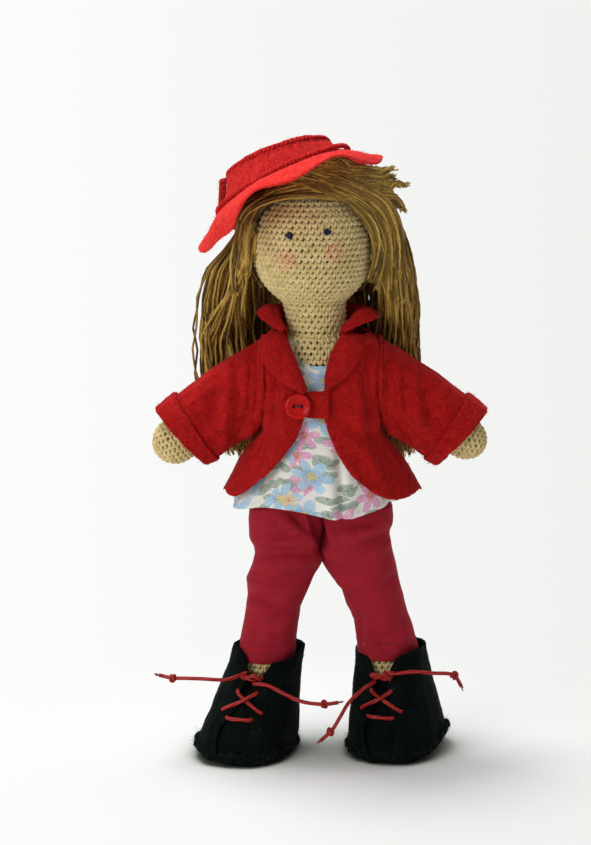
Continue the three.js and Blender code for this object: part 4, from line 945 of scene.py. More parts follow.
def make_laces(side, sign):
    runs = {
        "bar": lacing(side, (-BAR[0], BAR[1]), BAR, 0),
        "cross_under": lacing(side, CROSS_LOW, (-CROSS_TOP[0], CROSS_TOP[1]), 0),
        "cross_over": lacing(side, (-CROSS_LOW[0], CROSS_LOW[1]), CROSS_TOP, 2 * CORD_R + 0.9,
                             CROSS_LOW[0] / (CROSS_LOW[0] + CROSS_TOP[0])),
    }
    for name, route in runs.items():
        piece = threads(f"lace_{name}_{side}_cord", [route], CORD_R, CORD, ring=12)
        dress(piece, f"leg_{side}", "waxed_cord", f"lace_{name}_{side}")
    # The tie: two cords round each other, over the opening
    line = lacing(side, (-TIE[0], TIE[1]), TIE, 0.9)
    twist = []
    for start in (0, math.pi):
        strand = []
        for k, p in enumerate(line):
            t = k / (len(line) - 1)
            off = 0.86 * math.sin(math.pi * min(1, max(0, (t - 0.02) / 0.96))) ** 0.5
            turn = start + TURN * 1.15 * t * sign
            away = Vector((0, -math.cos(turn), math.sin(turn))) * off
            strand.append(Vector(p) + away + Vector((0, -0.25, 0)))
        twist.append(smooth_route(strand, 40))
    loop = [line[12], line[14] + (0, -1.6, 1.5), line[17] + (0, -2.2, 1.6), line[20] + (0, -1.4, 0.2),
            line[22] + (0, -0.4, -1.4)]
    twist.append(smooth_route(loop, 24))
    tie = threads(f"lace_tie_{side}_cord", twist, CORD_R * 0.92, CORD, ring=12)
    dress(tie, f"leg_{side}", "waxed_cord", f"lace_tie_{side}")
    starts = {
        "out": on_boot(side, sign * TIE_LEAVE[0], TIE[1] + TIE_LEAVE[1], TIE_LEAVE[2]),
        "in": on_boot(side, -sign * TIE_LEAVE[0], TIE[1] - TIE_LEAVE[1], TIE_LEAVE[2]),
    }
    for end, points in FREE_ENDS[side].items():
        route = smooth_route([starts[end]] + points, 40)
        cord = threads(f"lace_end_{end}_{side}_cord", [route], CORD_R, CORD, ring=12)
        at = int(KNOT_AT * (len(route) - 1))
        way = route[at + 1] - route[at - 1]
        knot = threads(f"lace_knot_{end}_{side}", [knot_route(route[at], way, 1.35)], 0.72, CORD, ring=10)
        tails = threads(f"lace_tails_{end}_{side}", frayed(route, 9, 0.8, 1.8), 0.2, CORD, ring=4)
        for piece in (knot, tails):
            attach(piece, f"leg_{side}")
        length = route_length(route) * MM
        dress(cord, f"leg_{side}", "waxed_cord", f"lace_end_{end}_{side}")
        [tuple(p * MM) for p in route]


# Hat: felt sewn edge to edge
def hat_ring(station, grow, height, count=120):
    right, up, front = leaning(*station["lean"])
    centre = Vector(station["centre"])
    reach = station["radius"] + grow
    ring = []
    for k in range(count + 1):
        angle = TURN * k / count
        ring.append(centre + right * reach * math.sin(angle) + front * reach * math.cos(angle) + up * height)
    return ring


def crown_at(t):
    def between(a, b):
        return a + (b - a) * t

    return {
        "centre": [between(a, b) for a, b in zip(HAT_BASE["centre"], HAT_TOP["centre"])],
        "radius": between(HAT_BASE["radius"], HAT_TOP["radius"]),
        "lean": [between(a, b) for a, b in zip(HAT_BASE["lean"], HAT_TOP["lean"])],
    }


def whip_stitches(ring, out, up, pitch, radius, name, material, tall=1.3, wide=1.2):
    """Stitches over an edge, one after the other. out gives the way outwards at a point."""
    even = smooth_route(ring, max(8, int(route_length(ring) / pitch)))
    routes = []
    for k in range(len(even) - 1):
        here = Vector(even[k])
        along = Vector(even[k + 1] - even[k])
        away = out(here)
        lean = draw.uniform(0.15, 0.4)
        routes.append([
            (*(here + away * wide * 0.1 - up * tall), 0.75),
            (*(here + away * wide * 0.62 - up * tall * 0.3), 1),
            (*(here + away * wide * 0.35 + up * tall * 0.5 + along * lean), 1.1),
            (*(here - away * wide * 0.5 + up * tall * 0.42 + along * lean), 1),
            (*(here - away * wide * 1.1 - up * 0.2 + along * lean), 0.7),
        ])
    return threads(name, routes, radius, material, ring=6)


# How far the brim bends down, in degrees, by the angle round the hat from its front
BRIM_BEND = [
    (-180, 6), (-150, 4), (-130, 5), (-120, 9), (-112, 14), (-105, 20), (-97, 33), (-90, 45), (-83, 53),
    (-76, 57), (-70, 61), (-62, 66), (-50, 68), (-40, 60), (-30, 42), (-20, 24), (-10, 22), (0, 35), (10, 37),
    (20, 31), (30, 24), (40, 25), (50, 42), (60, 52), (70, 55), (78, 54), (84, 51), (90, 46), (97, 36),
    (104, 24), (115, 14), (130, 8), (150, 6), (180, 6),
]


def brim_place(u, v):
    degrees = 360 * (u - 0.5)
    bend = math.radians(sum(row_at(BRIM_BEND, degrees + shift)[0] for shift in (-4, 0, 4)) / 3
                        if abs(degrees) < 176 else 6)
    reach = 15.3 + 3.2 * math.exp(-(((degrees + 102) / 22) ** 2)) + 0.4 * math.sin(math.radians(degrees) * 7)
    far = -2.2 + (reach + 2.2) * v
    out, down, steps = 0.2, 0.0, 10
    if far < 0:
        down = far
    else:
        for k in range(steps):
            slope = bend * (0.35 + 1.1 * (k + 0.5) / steps * far / reach)
            out += far / steps * math.cos(slope)
            down += far / steps * math.sin(slope)
    right, up, front = leaning(*HAT_LEAN)
    angle = math.radians(degrees)
    return (Vector(HAT_BASE["centre"]) + (right * math.sin(angle) + front * math.cos(angle)) *
            (HAT_BASE["radius"] + 0.4 + out - 4.5 * max(0, 1 - 12 * v)) - up * down)


def make_hat():
    _, hat_up, _ = leaning(*HAT_LEAN)

    def out_from(station):
        middle = Vector(station["centre"])
        return lambda p: (p - middle - hat_up * (p - middle).dot(hat_up)).normalized()

    crown = softened(copy_of("hat_crown_side", "felt"), 0.55, ((3, 0.3), (12, 0.8)))
    painted(crown, HAT_FELT)
    rim = whip_stitches(hat_ring(HAT_TOP, -0.55, 0.05), out_from(HAT_TOP), hat_up, 1.9, 0.8, "rim", HAT_FELT,
                        tall=0.7, wide=0.9)
    dots = line_stitches(surface_of(crown), hat_ring(crown_at(0.88), 0.2, 0), 4.8, 0.8, slant=1.2)
    dots = threads("dots", dots, 0.14, HAT_THREAD, ring=4)
    fuzz = fuzz_on(crown, 700, 1.5, 3, FELT_HAIR)
    join(crown, [rim, dots, fuzz])
    dress(crown, "hat", "red_felt", "hat_crown_side")
    cloth(crown, 165, 17, 1, "stretched", "hat_brim")

    lid = softened(copy_of("hat_crown_top", "felt"), 0.55, ((3, 0.3), (16, 1.2)))
    painted(lid, HAT_FELT)
    join(lid, [fuzz_on(lid, 400, 1.5, 4, FELT_HAIR)])
    dress(lid, "hat", "red_felt", "hat_crown_top")
    cloth(lid, 47, 47, 0.785, "stretched", "hat_crown_side")

    brim = wrap("hat_brim_sheet", 160, 14, brim_place, (200, 18), BRIM_THICK)
    brim = softened(settle(brim), 0.62, ((2.6, 0.3), (15, 0.6)), rounds=3)
    painted(brim, LIT_BRIM_FELT)
    ridge = whip_stitches(hat_ring(HAT_BASE, 1.7, 2.4), out_from(HAT_BASE), hat_up, 1.75, 0.9, "ridge", HAT_FELT,
                          tall=0.9, wide=0.9)
    dots = line_stitches(surface_of(brim), hat_ring(HAT_BASE, 2.8, 1.0), 3.5, 1.0, slant=0.9)
    dots = threads("dots", dots, 0.16, HAT_THREAD, ring=4)
    fuzz = fuzz_on(brim, 900, 1.5, 5, FELT_HAIR)
    join(brim, [ridge, dots, fuzz])
    dress(brim, "hat", "red_felt", "hat_brim")
    cloth(brim, 93, 93, 0.45, "hung", "hair_cap")

    lap = softened(copy_of("hat_side_lap", "felt"), 0.4, ((2.5, 0.3), (9, 0.4)), rounds=3)
    painted(lap, HAT_FELT)
    low, high = (Vector(v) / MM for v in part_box("hat_side_lap"))
    middle = (low + high) / 2
    lap_tree = surface_of(lap)
    crosses = []
    for k in range(6):
        t = (k + 0.5) / 6
        for way in (1, -1):
            a = Vector((low.x + 1.2, low.y - 1, low.z + (high.z - low.z) * t - 1.1 * way))
            b = Vector((middle.x + 1.5, low.y - 1, low.z + (high.z - low.z) * t + 1.1 * way))
            a, up_a = onto(lap_tree, a, 0.18)
            b, up_b = onto(lap_tree, b, 0.18)
            c, _ = onto(lap_tree, (a + b) / 2, 0.3)
            crosses.append([(*(a - up_a * 0.5), 0.8), (*a, 1), (*c, 1), (*b, 1), (*(b - up_b * 0.5), 0.8)])
    crosses = threads("crosses", crosses, 0.2, HAT_THREAD, ring=4)
    join(lap, [crosses, fuzz_on(lap, 60, 2.0, 6, FELT_HAIR)])
    dress(lap, "hat", "red_felt", "hat_side_lap")
    cloth(lap, 10, 17.5, 0.75, "laid", "hat_crown_side")


# Jacket and sleeves
def sleeve_axis(sign, t):
    z = SHOULDER_Z + (SLEEVE["cuff_z"] - SHOULDER_Z) * t
    return Vector((sign * (SLEEVE["root"][0] + (SLEEVE["cuff"][0] - SLEEVE["root"][0]) * t), 0, z))


def sleeve_point(sign, t, around, grow):
    angle = SLEEVE["open"] * t
    up = Vector((sign * math.sin(angle), 0, math.cos(angle)))
    half = SLEEVE["root"][1] + (SLEEVE["cuff"][1] - SLEEVE["root"][1]) * t + grow
    depth = SLEEVE["root"][2] + (SLEEVE["cuff"][2] - SLEEVE["root"][2]) * t + grow
    return sleeve_axis(sign, t) + up * half * math.cos(around) + Vector((0, -depth * math.sin(around), 0))


def felt_panel(node, fuzz, even=0.65, shape=None, lumps=((3.2, 0.32), (17, 1.0))):
    """A piece of the jacket, with its fibres and a few stray pale ones."""
    obj = softened(copy_of(node, "felt"), even, lumps)
    if shape:
        move_points(obj, shape(points_of(obj), normals_of(obj)))
    painted(obj, COAT_FELT)
    near = fuzz_on(obj, fuzz * 6, 1.5, len(node) * 31 + fuzz, FELT_HAIR)
    stray = fuzz_on(obj, max(1, fuzz // 70), 4.0, len(node) * 17 + fuzz, PALE_HAIR, width=0.024)
    return join(obj, [near, stray])


# Creases, for either side: from and to as (x, z), then width and depth
FRONT_CREASES = [
    ((19.5, 183), (21.5, 148), 2.4, 2.6), ((17, 182), (16, 160), 2.6, 0.9), ((22, 146), (32, 126), 3.6, 2.0),
    ((9, 151), (23, 143), 2.8, 1.3), ((14, 142), (21, 126), 3.2, 1.2),
]
SLEEVE_CREASES = [
    ((29.5, 181), (30.5, 152), 2.4, 2.9), ((35.5, 178), (37, 144), 2.8, 2.6), ((33, 152), (47, 140), 3.0, 1.8),
    ((43, 170), (50, 146), 3.8, 1.7), ((29.5, 158), (40, 136), 2.6, 2.0),
]
SLEEVE_BACK_CREASES = [((30, 178), (30, 150), 3, 1.2), ((34, 164), (48, 142), 4, 1.0)]


# The sewn part of each front's edge, as x and z
FRONT_EDGE = {
    "right": [(-9.4, 178), (-6.9, 167), (-6.8, 158), (-8.2, 150.5), (-13, 141.5)],
    "left": [(4.2, 180), (0.9, 168), (0.6, 156), (2.2, 148), (6.6, 138.4)],
}


def cast_stitches(tree, line, pitch, length, slant):
    """Stitches along a line of x and z seen from the front, carried back onto a surface."""
    ahead = [(x, -34, z) for x, z in line]
    spots = []
    for p in smooth_route(ahead, max(3, int(route_length(ahead) / pitch))):
        hit, out, _, _ = tree.ray_cast(Vector(p) * MM, Vector((0, 1, 0)))
        if hit is not None and out.y < -0.2:
            spots.append(hit / MM)
    return line_stitches(tree, spots, pitch, length, slant=slant) if len(spots) > 3 else []


def sewn_edge(routes, radius, material=None):
    return threads("edge_stitches", routes, radius, material or DARK_THREAD, ring=4) if routes else None


# Collar: where it starts and ends, in degrees round the neck from the front
COLLAR_FROM = 29
COLLAR_TO = 318
# How far out and how high it runs from its root up and over, at the back, near the front and at its ends
COLLAR_BACK = [(0, 187.6), (0.3, 192), (1.6, 196.2), (4.8, 197.8), (9.2, 195)]
COLLAR_TIPS = [(0, 187.8), (0.4, 192.4), (2.2, 197.2), (6, 199), (10.6, 195.6)]
COLLAR_ENDS = [(3.0, 188.6), (3.9, 190.4), (4.7, 191.2), (5.5, 190.9), (6.2, 189.8)]


def collar_place(u, v):
    degrees = COLLAR_FROM + (COLLAR_TO - COLLAR_FROM) * u
    angle = math.radians(degrees)
    from_front, low = (degrees, COLLAR_FROM) if degrees < 180 else (360 - degrees, 360 - COLLAR_TO)
    at = v * 4
    k = min(3, int(at))
    rest = at - k

    def along(table):
        (a, b), (c, d) = table[k], table[k + 1]
        return Vector((a + (c - a) * rest, b + (d - b) * rest, 0))

    share = min(1, max(0, (from_front - low) / 36))
    spot = along(COLLAR_ENDS).lerp(along(COLLAR_TIPS), share ** 0.8)
    spot = spot.lerp(along(COLLAR_BACK), min(1, max(0, (from_front - 88) / 40)))
    spot.y += 0.8 * v * math.sin(3 * angle + 0.6) * share
    return (-1.8 + (16 + spot.x) * super_sin(angle, 2.2), -(13.6 + spot.x) * super_cos(angle, 2.2), spot.y)


# Lapels: x and z of their rolled inner edge and of their outer edge, from the top down
LAPELS = {
    "right": (
        [(-17, 190.2), (-14.9, 186), (-12.4, 181.9), (-10.2, 175.5), (-8, 169.4), (-7.2, 165.4)],
        [(-25.4, 187.8), (-26.6, 184.2), (-24.8, 178.4), (-21.4, 173.2), (-14.8, 168.2), (-7.8, 164.8)],
    ),
    "left": (
        [(8.2, 190), (5.3, 185), (3, 180.3), (1.5, 174.4), (0.8, 168.8), (1.4, 166)],
        [(15.4, 189.2), (17.8, 185.2), (15.6, 178.4), (11.9, 172.6), (6.6, 168.2), (2, 165.6)],
    ),
}


def jacket_front_at(x, z, off):
    half, front, _, square, middle = row_at(JACKET, z)
    share = min(1, abs(x - middle) / (half + off))
    return -(front + off) * (1 - share ** square) ** (1 / square)


def lapel_place(side):
    inner, outer = (smooth_route([(x, 0, z) for x, z in line], 40) for line in LAPELS[side])

    def place(u, v):
        k = min(38, int(u * 39))
        rest = u * 39 - k
        a = Vector(inner[k]).lerp(Vector(inner[k + 1]), rest)
        b = Vector(outer[k]).lerp(Vector(outer[k + 1]), rest)
        p = a.lerp(b, v)
        rolled = 1.2 * math.exp(-((v / 0.16) ** 2))
        off = 2.7 + 0.9 * math.sin(math.pi * v) - rolled + 0.5 * v * math.sin(5 * u + 1)
        p.y = jacket_front_at(p.x, p.z, off)
        return p

    return place


def open_neck(co, sign):
    """Draws the top of a front or lapel back from the neck."""
    high = np.clip((co[:, 2] - 171) / 16, 0, 1)
    near = np.clip(1 - (np.abs(co[:, 0] + 1.8) - 9) / 9, 0, 1)
    co = co.copy()
    co[:, 0] += (2.2 if sign > 0 else -3.2) * high * near
    co[:, 1] += 1.4 * high * near
    return co


def make_jacket():
    back = felt_panel("jacket_back", 200, even=0.8, lumps=((3.2, 0.32), (20, 1.3)))
    edges = []
    for _, sign in SIDES:
        line = [(sign * (24.6 + 0.475 * (134 - z)), z) for z in (133, 128, 124, 120)]
        edges += cast_stitches(surface_of(back), line, 3.0, 1.4, 1.0)
    join(back, [sewn_edge(edges, 0.22)])
    dress(back, "torso", "red_felt", "jacket_back")
    cloth(back, 92, 78, 0.8, "hung", "torso")
    for side, sign in SIDES:
        def folds(co, out, sign=sign):
            return open_neck(creased(co, out, sign, FRONT_CREASES), sign)

        front = felt_panel(f"jacket_front_{side}", 150, shape=folds)
        edge = [(x + sign * 1.3, z) for x, z in FRONT_EDGE[side]]
        stitches = cast_stitches(surface_of(front), edge, 4.6, 1.5, 0.9)
        # The seam to the sleeve is a soft roll over the front half of the armhole
        ring = [sleeve_point(sign, -0.015, math.pi * k / 40, -0.15 + 0.3 * math.sin(k * 1.7))
                for k in range(41)]
        seam = threads("seam", [smooth_route(ring, 70)], 1.15, COAT_FELT, ring=10)
        join(front, [sewn_edge(stitches, 0.2), seam])
        dress(front, "torso", "red_felt", f"jacket_front_{side}")
        cloth(front, 45 if sign > 0 else 39, 77, 0.75, "hung", "blouse", "jacket_back")
        lapel = wrap(f"lapel_{side}_sheet", 60, 24, lapel_place(side), (28, 13), FELT_THICK)
        lapel = softened(settle(lapel), 0.38, ((2.4, 0.2), (9, 0.5)), rounds=2)
        painted(lapel, COAT_FELT)
        edge = [(x + sign * 1.1, z) for x, z in LAPELS[side][0]]
        stitches = cast_stitches(surface_of(lapel), edge, 3.2, 1.1, 0.8)
        join(lapel, [sewn_edge(stitches, 0.17), fuzz_on(lapel, 420, 1.4, 41, FELT_HAIR)])
        dress(lapel, "torso", "red_felt", f"lapel_{side}")
        cloth(lapel, 17, 31, 0.75, "folded", f"jacket_front_{side}")

    def reach_over(co, out):
        """Draws the loop's end round the button's thread."""
        co = co.copy()
        pull = np.clip((co[:, 0] + 2.8) / 2.8, 0, 1)
        co[:, 0] += 2.8 * pull
        co[:, 1] -= 0.35 * pull
        hole = np.exp(-(((co[:, 0] + 3.4) / 1.5) ** 2) - ((co[:, 2] - BUTTON_AT[1]) / 2.6) ** 2)
        co[:, 0] -= 1.9 * hole
        return co

    loop = felt_panel("button_loop", 40, even=0.42, shape=reach_over, lumps=((2.4, 0.3), (8, 0.5)))
    edge = [(1.7, 164.4), (1.5, 161), (1.5, 157), (1.7, 154.8)]
    join(loop, [sewn_edge(cast_stitches(surface_of(loop), edge, 2.6, 1.0, 0.3), 0.2)])
    dress(loop, "torso", "red_felt", "button_loop")
    cloth(loop, 22.5, 14.5, 0.75, "laid", "blouse")
    collar = wrap("collar_sheet", 110, 22, collar_place, (95, 18), FELT_THICK)
    collar = softened(settle(collar), 0.54, ((2.6, 0.25), (11, 0.9)), rounds=2)
    painted(collar, COAT_FELT)
    join(collar, [fuzz_on(collar, 700, 1.5, 77, FELT_HAIR)])
    dress(collar, "torso", "red_felt", "collar")
    cloth(collar, 100, 16, 1, "folded", "jacket_back")


def make_sleeves():
    for side, sign in SIDES:
        def folds(co, out, sign=sign):
            co = creased(co, out, sign, SLEEVE_CREASES)
            return creased(co, out, sign, SLEEVE_BACK_CREASES, front=False)

        sleeve = felt_panel(f"sleeve_{side}", 150, even=0.72, shape=folds)
        # The sleeve's top stays sewn to the jacket; the piece is set where it lies and hung on no body
        on_arm, on_jacket = (sign * 0.036, 0, 0.166), (sign * 0.027, 0, 0.166)
        dress(sleeve, (f"arm_{side}", "torso", on_arm, on_jacket), "red_felt", f"sleeve_{side}")
        cloth(sleeve, 92, 52, 0.88, "hung", f"arm_{side}")
        cuff = felt_panel(f"cuff_{side}", 90, even=0.58, lumps=((3, 0.32), (10, 0.9)))
        edge = [sleeve_point(sign, 0.985, TURN * k / 60, 1.6) for k in range(61)]
        join(cuff, [sewn_edge(line_stitches(surface_of(cuff), edge, 5.2, 1.1, slant=1.1), 0.15, HAT_THREAD)])
        dress(cuff, f"arm_{side}", "red_felt", f"cuff_{side}")
        cloth(cuff, 98, 11, 0.98, "folded", f"sleeve_{side}")


# Blouse and trousers, wrapped as sheets so that the print and the weave follow them
def neckline(x):
    """How high the blouse reaches: a round scoop about the neck."""
    off = min(NECK_SCOOP, abs(x - NECK_X))
    return 188.5 - math.sqrt(NECK_SCOOP ** 2 - off * off)


def blouse_place(u, v):
    angle = TURN * (u - 0.5)
    x = -1.2 + 24 * math.sin(angle)
    top = min(186.4, neckline(x))
    wave = 1.7 * (math.cos(4 * (angle - 0.32)) - 0.4) + 1.0 * math.cos(2 * (angle - 0.35))
    low = 112 - wave
    z = low + (top - low) * v
    p = trunk_point(BLOUSE, max(112, z), angle)
    p.z = z
    share = min(1, max(0, (140 - z) / 26))
    fold = 2.1 * share * (0.5 + 0.5 * math.cos(9 * angle + 1))
    front = max(0.0, math.cos(angle))
    # One deep fold runs down the front, left of it the cloth stands forward
    run = 7.2 + (150 - z) * 0.05
    gap = (p.x - run) / 2.1
    deep = 3.6 * share ** 0.5 * math.exp(-(gap * gap)) * front if z < 152 else 0.0
    bulge = 1.9 * share ** 0.5 * math.exp(-(((p.x - run + 5) / 3.2) ** 2)) * front
    p.x -= 4.6 * min(1, max(0, (128 - z) / 16)) * max(0, -math.sin(angle)) ** 2
    out = Vector((p.x, p.y * 1.3, 0)).normalized()
    return p - out * (fold + deep - bulge)


def cut_armholes(shape):
    """Opens a round hole at each shoulder and draws its edge to the circle."""
    gone = []
    for face in shape.faces:
        c = face.calc_center_median() / MM
        if abs(c.x) > 15 and math.hypot(c.y, c.z - SHOULDER_Z) < ARMHOLE_R:
            gone.append(face)
    bmesh.ops.delete(shape, geom=gone, context="FACES")
    for vert in shape.verts:
        p = vert.co / MM
        far = math.hypot(p.y, p.z - SHOULDER_Z)
        if vert.is_boundary and abs(p.x) > 15 and far < ARMHOLE_R + 2.2 and p.z < 180:
            vert.co.y = p.y * ARMHOLE_R / far * MM
            vert.co.z = (SHOULDER_Z + (p.z - SHOULDER_Z) * ARMHOLE_R / far) * MM


def make_blouse():
    blouse = settle(wrap("blouse_print", 200, 90, blouse_place, (185, 74), COTTON_THICK, cut_armholes))
    smooth_faces(blouse)
    painted(blouse, PRINT)
    ring = [Vector(blouse_place(k / 90, 0.028)) for k in range(91)]
    hem = line_stitches(surface_of(blouse), ring, 2.6, 1.5, lift=0.06)
    join(blouse, [threads("hem_stitches", hem, 0.11, WHITE_THREAD, ring=4)])
    dress(blouse, "torso", "print_cotton", "blouse")
    cloth(blouse, 172, 74, 0.74, "hung", "torso")


def leg_place(side):
    table = LEG_WEAR[side]
    low, high = table[0][0], table[-1][0]

    def place(u, v):
        z = low + (high - low) * v
        cx, cy, a, b, square = row_at(table, z)
        angle = TURN * (u - 0.5)
        return (cx + a * super_sin(angle, square), cy - b * super_cos(angle, square), z)

    return place


# Creases in front of each leg, in the same way but with x as it is
TROUSER_CREASES = {
    "right": [
        ((-14.5, 112), (-4, 102), 2.21, 2.97), ((-5, 112), (1, 93.5), 2.04, 3.24),
        ((-30, 92), (-13, 93.6), 2.72, 2.565), ((-14, 93.4), (0, 92), 2.38, 1.89),
        ((-19, 80), (-5, 83), 2.89, 1.755), ((-33, 73), (-19, 70), 2.55, 1.89),
        ((-14, 66), (-24, 60), 2.89, 1.08), ((-28, 62), (-30, 48), 2.72, 0.945),
        ((-8, 104), (-20, 99), 2.04, 1.755),
    ],
    "left": [
        ((-3, 111), (1.6, 95), 2.04, 2.97), ((29.5, 101), (18, 95.5), 2.55, 2.565),
        ((2, 88.5), (13.4, 79.4), 2.72, 1.89), ((10, 71.4), (21, 75), 2.55, 1.755),
        ((17.4, 44), (17.4, 63), 1.615, 1.755), ((34, 82), (26, 76), 2.89, 1.215),
        ((36, 62), (30, 50), 3.06, 1.08), ((8, 104), (22, 106.5), 2.38, 1.62),
        ((24, 60), (28, 46), 2.55, 0.81),
    ],
}
# Creases behind either leg, with x outwards
BACK_CREASES = [((6, 88), (24, 104), 3, 1.2), ((10, 66), (30, 72), 2.6, 1.1), ((12, 60), (28, 56), 3, 0.8)]


def make_trousers():
    for side, sign in SIDES:
        leg = settle(wrap(f"trouser_leg_{side}_cotton", 126, 130, leg_place(side), (90, 82), COTTON_THICK))
        co = points_of(leg)
        centre = np.array([row_at(LEG_WEAR[side], z)[:2] for z in co[:, 2]])
        radial = co[:, :2] - centre
        radial /= np.linalg.norm(radial, axis=1)[:, None] + 1e-9
        away = np.concatenate([radial, np.zeros((len(co), 1))], axis=1)
        co = creased(co, away, 1, TROUSER_CREASES[side])
        move_points(leg, creased(co, away, sign, BACK_CREASES, front=False))
        add_lumps(leg, ((9, 0.7), (22, 1.1)))
        leg = settle(leg)
        smooth_faces(leg)
        painted(leg, CRIMSON)
        tree = surface_of(leg)
        rows = []
        for z in HEM_ROWS:
            cx, cy, a, b, square = row_at(LEG_WEAR[side], z)
            ring = [(cx + (a + 0.4) * super_sin(TURN * k / 60, square),
                     cy - (b + 0.4) * super_cos(TURN * k / 60, square), z) for k in range(61)]
            rows += line_stitches(tree, ring, 2.3, 1.5, lift=0.1)
        join(leg, [threads("hem_stitches", rows, 0.16, HEM_THREAD, ring=4)])
        dress(leg, (f"leg_{side}", "torso", *HIP_BLEND), "trouser_cotton", f"trouser_leg_{side}")
        cloth(leg, 98, 82, 0.95, "hung", "trousers_seat")

    def seat_place(u, v):
        return trunk_point(SEAT, SEAT[0][0] + 22 * v, TURN * (u - 0.5))

    seat = settle(wrap("trousers_seat_cotton", 140, 24, seat_place, (150, 22), COTTON_THICK))
    smooth_faces(seat)
    painted(seat, CRIMSON)
    dress(seat, "torso", "trouser_cotton", "trousers_seat")
    cloth(seat, 150, 22, 1, "hung", "torso")


# Boots: how high the rim is, by the angle from the front. It's reshaped above RIM_FROM
RIM_FROM = 32
RIM = {
    "right": [(-180, 47.2), (-42, 47.4), (-30, 44.8), (-20, 42), (-10, 39.2), (0, 36.4), (12, 39.6), (25, 42.2),
              (60, 44), (90, 46), (180, 47.2)],
    "left": [(-180, 47.2), (-90, 45.4), (-60, 44.4), (-28, 44.4), (-14, 41), (0, 37.2), (15, 41), (30, 44.4),
             (50, 46.6), (70, 47.6), (180, 47.2)],
}


# How far the outer edge curls up, and how late the curl sets in
CURL = {"left": (6.4, 2.2), "right": (2.8, 1.6)}


def curl(co, side):
    """Lifts a boot's outer side, most at the sole."""
    rise, late = CURL[side]
    share = np.clip((co[:, 0] - BOOTS[side]["sole"][0]) * dict(SIDES)[side] / 22, 0, 1.1)
    co = co.copy()
    co[:, 2] += rise * share ** late * np.clip(1 - co[:, 2] / 26, 0, 1)
    return co


def curled(obj, side):
    move_points(obj, curl(points_of(obj), side))


def reshape_quarter(quarter, side):
    """Dips the rim to a V in front and parts the front edges over the tongue."""
    boot = BOOTS[side]
    co = points_of(quarter)
    lean = np.clip((co[:, 2] - BOOT_WALL[0][0]) / (BOOT_WALL[-1][0] - BOOT_WALL[0][0]), 0, None)
    x = co[:, 0] - boot["sole"][0] - (boot["rim"][0] - boot["sole"][0]) * lean
    y = co[:, 1] - boot["sole"][1] - (boot["rim"][1] - boot["sole"][1]) * lean
    c, s = math.cos(boot["yaw"]), math.sin(boot["yaw"])
    across, ahead = x * c + y * s, -x * s + y * c
    angle = np.degrees(np.arctan2(across, -ahead))
    top = np.interp(angle, [a for a, _ in RIM[side]], [t for _, t in RIM[side]])
    high = np.clip(co[:, 2] - RIM_FROM, 0, None)
    stretch = (top - RIM_FROM) / (BOOT_WALL[-1][0] - RIM_FROM)
    lift = np.where(co[:, 2] > RIM_FROM, RIM_FROM + high * stretch, co[:, 2])
    # The front edges: a lens of tongue shows between them, low down
    wide = 5.2 * np.clip((24 - co[:, 2]) / 9, 0, 1) * np.clip((co[:, 2] + 4) / 14, 0.3, 1)
    near = np.clip(1 - np.abs(across) / 16, 0, 1) * (ahead < 0)
    push = np.sign(across) * wide * near
    co[:, 2] = lift
    co[:, 0] += push * c
    co[:, 1] += push * s + np.abs(push) * 0.16
    pinch = 0.8 * np.clip((43 - lift) / 6, 0, 1) * np.clip((lift - 30) / 5, 0, 1)
    pinch *= np.clip(1 - np.abs(across) / 15, 0, 1) * np.sign(across) * (ahead < 0)
    co[:, 0] -= pinch * c
    co[:, 1] -= pinch * s
    move_points(quarter, co)


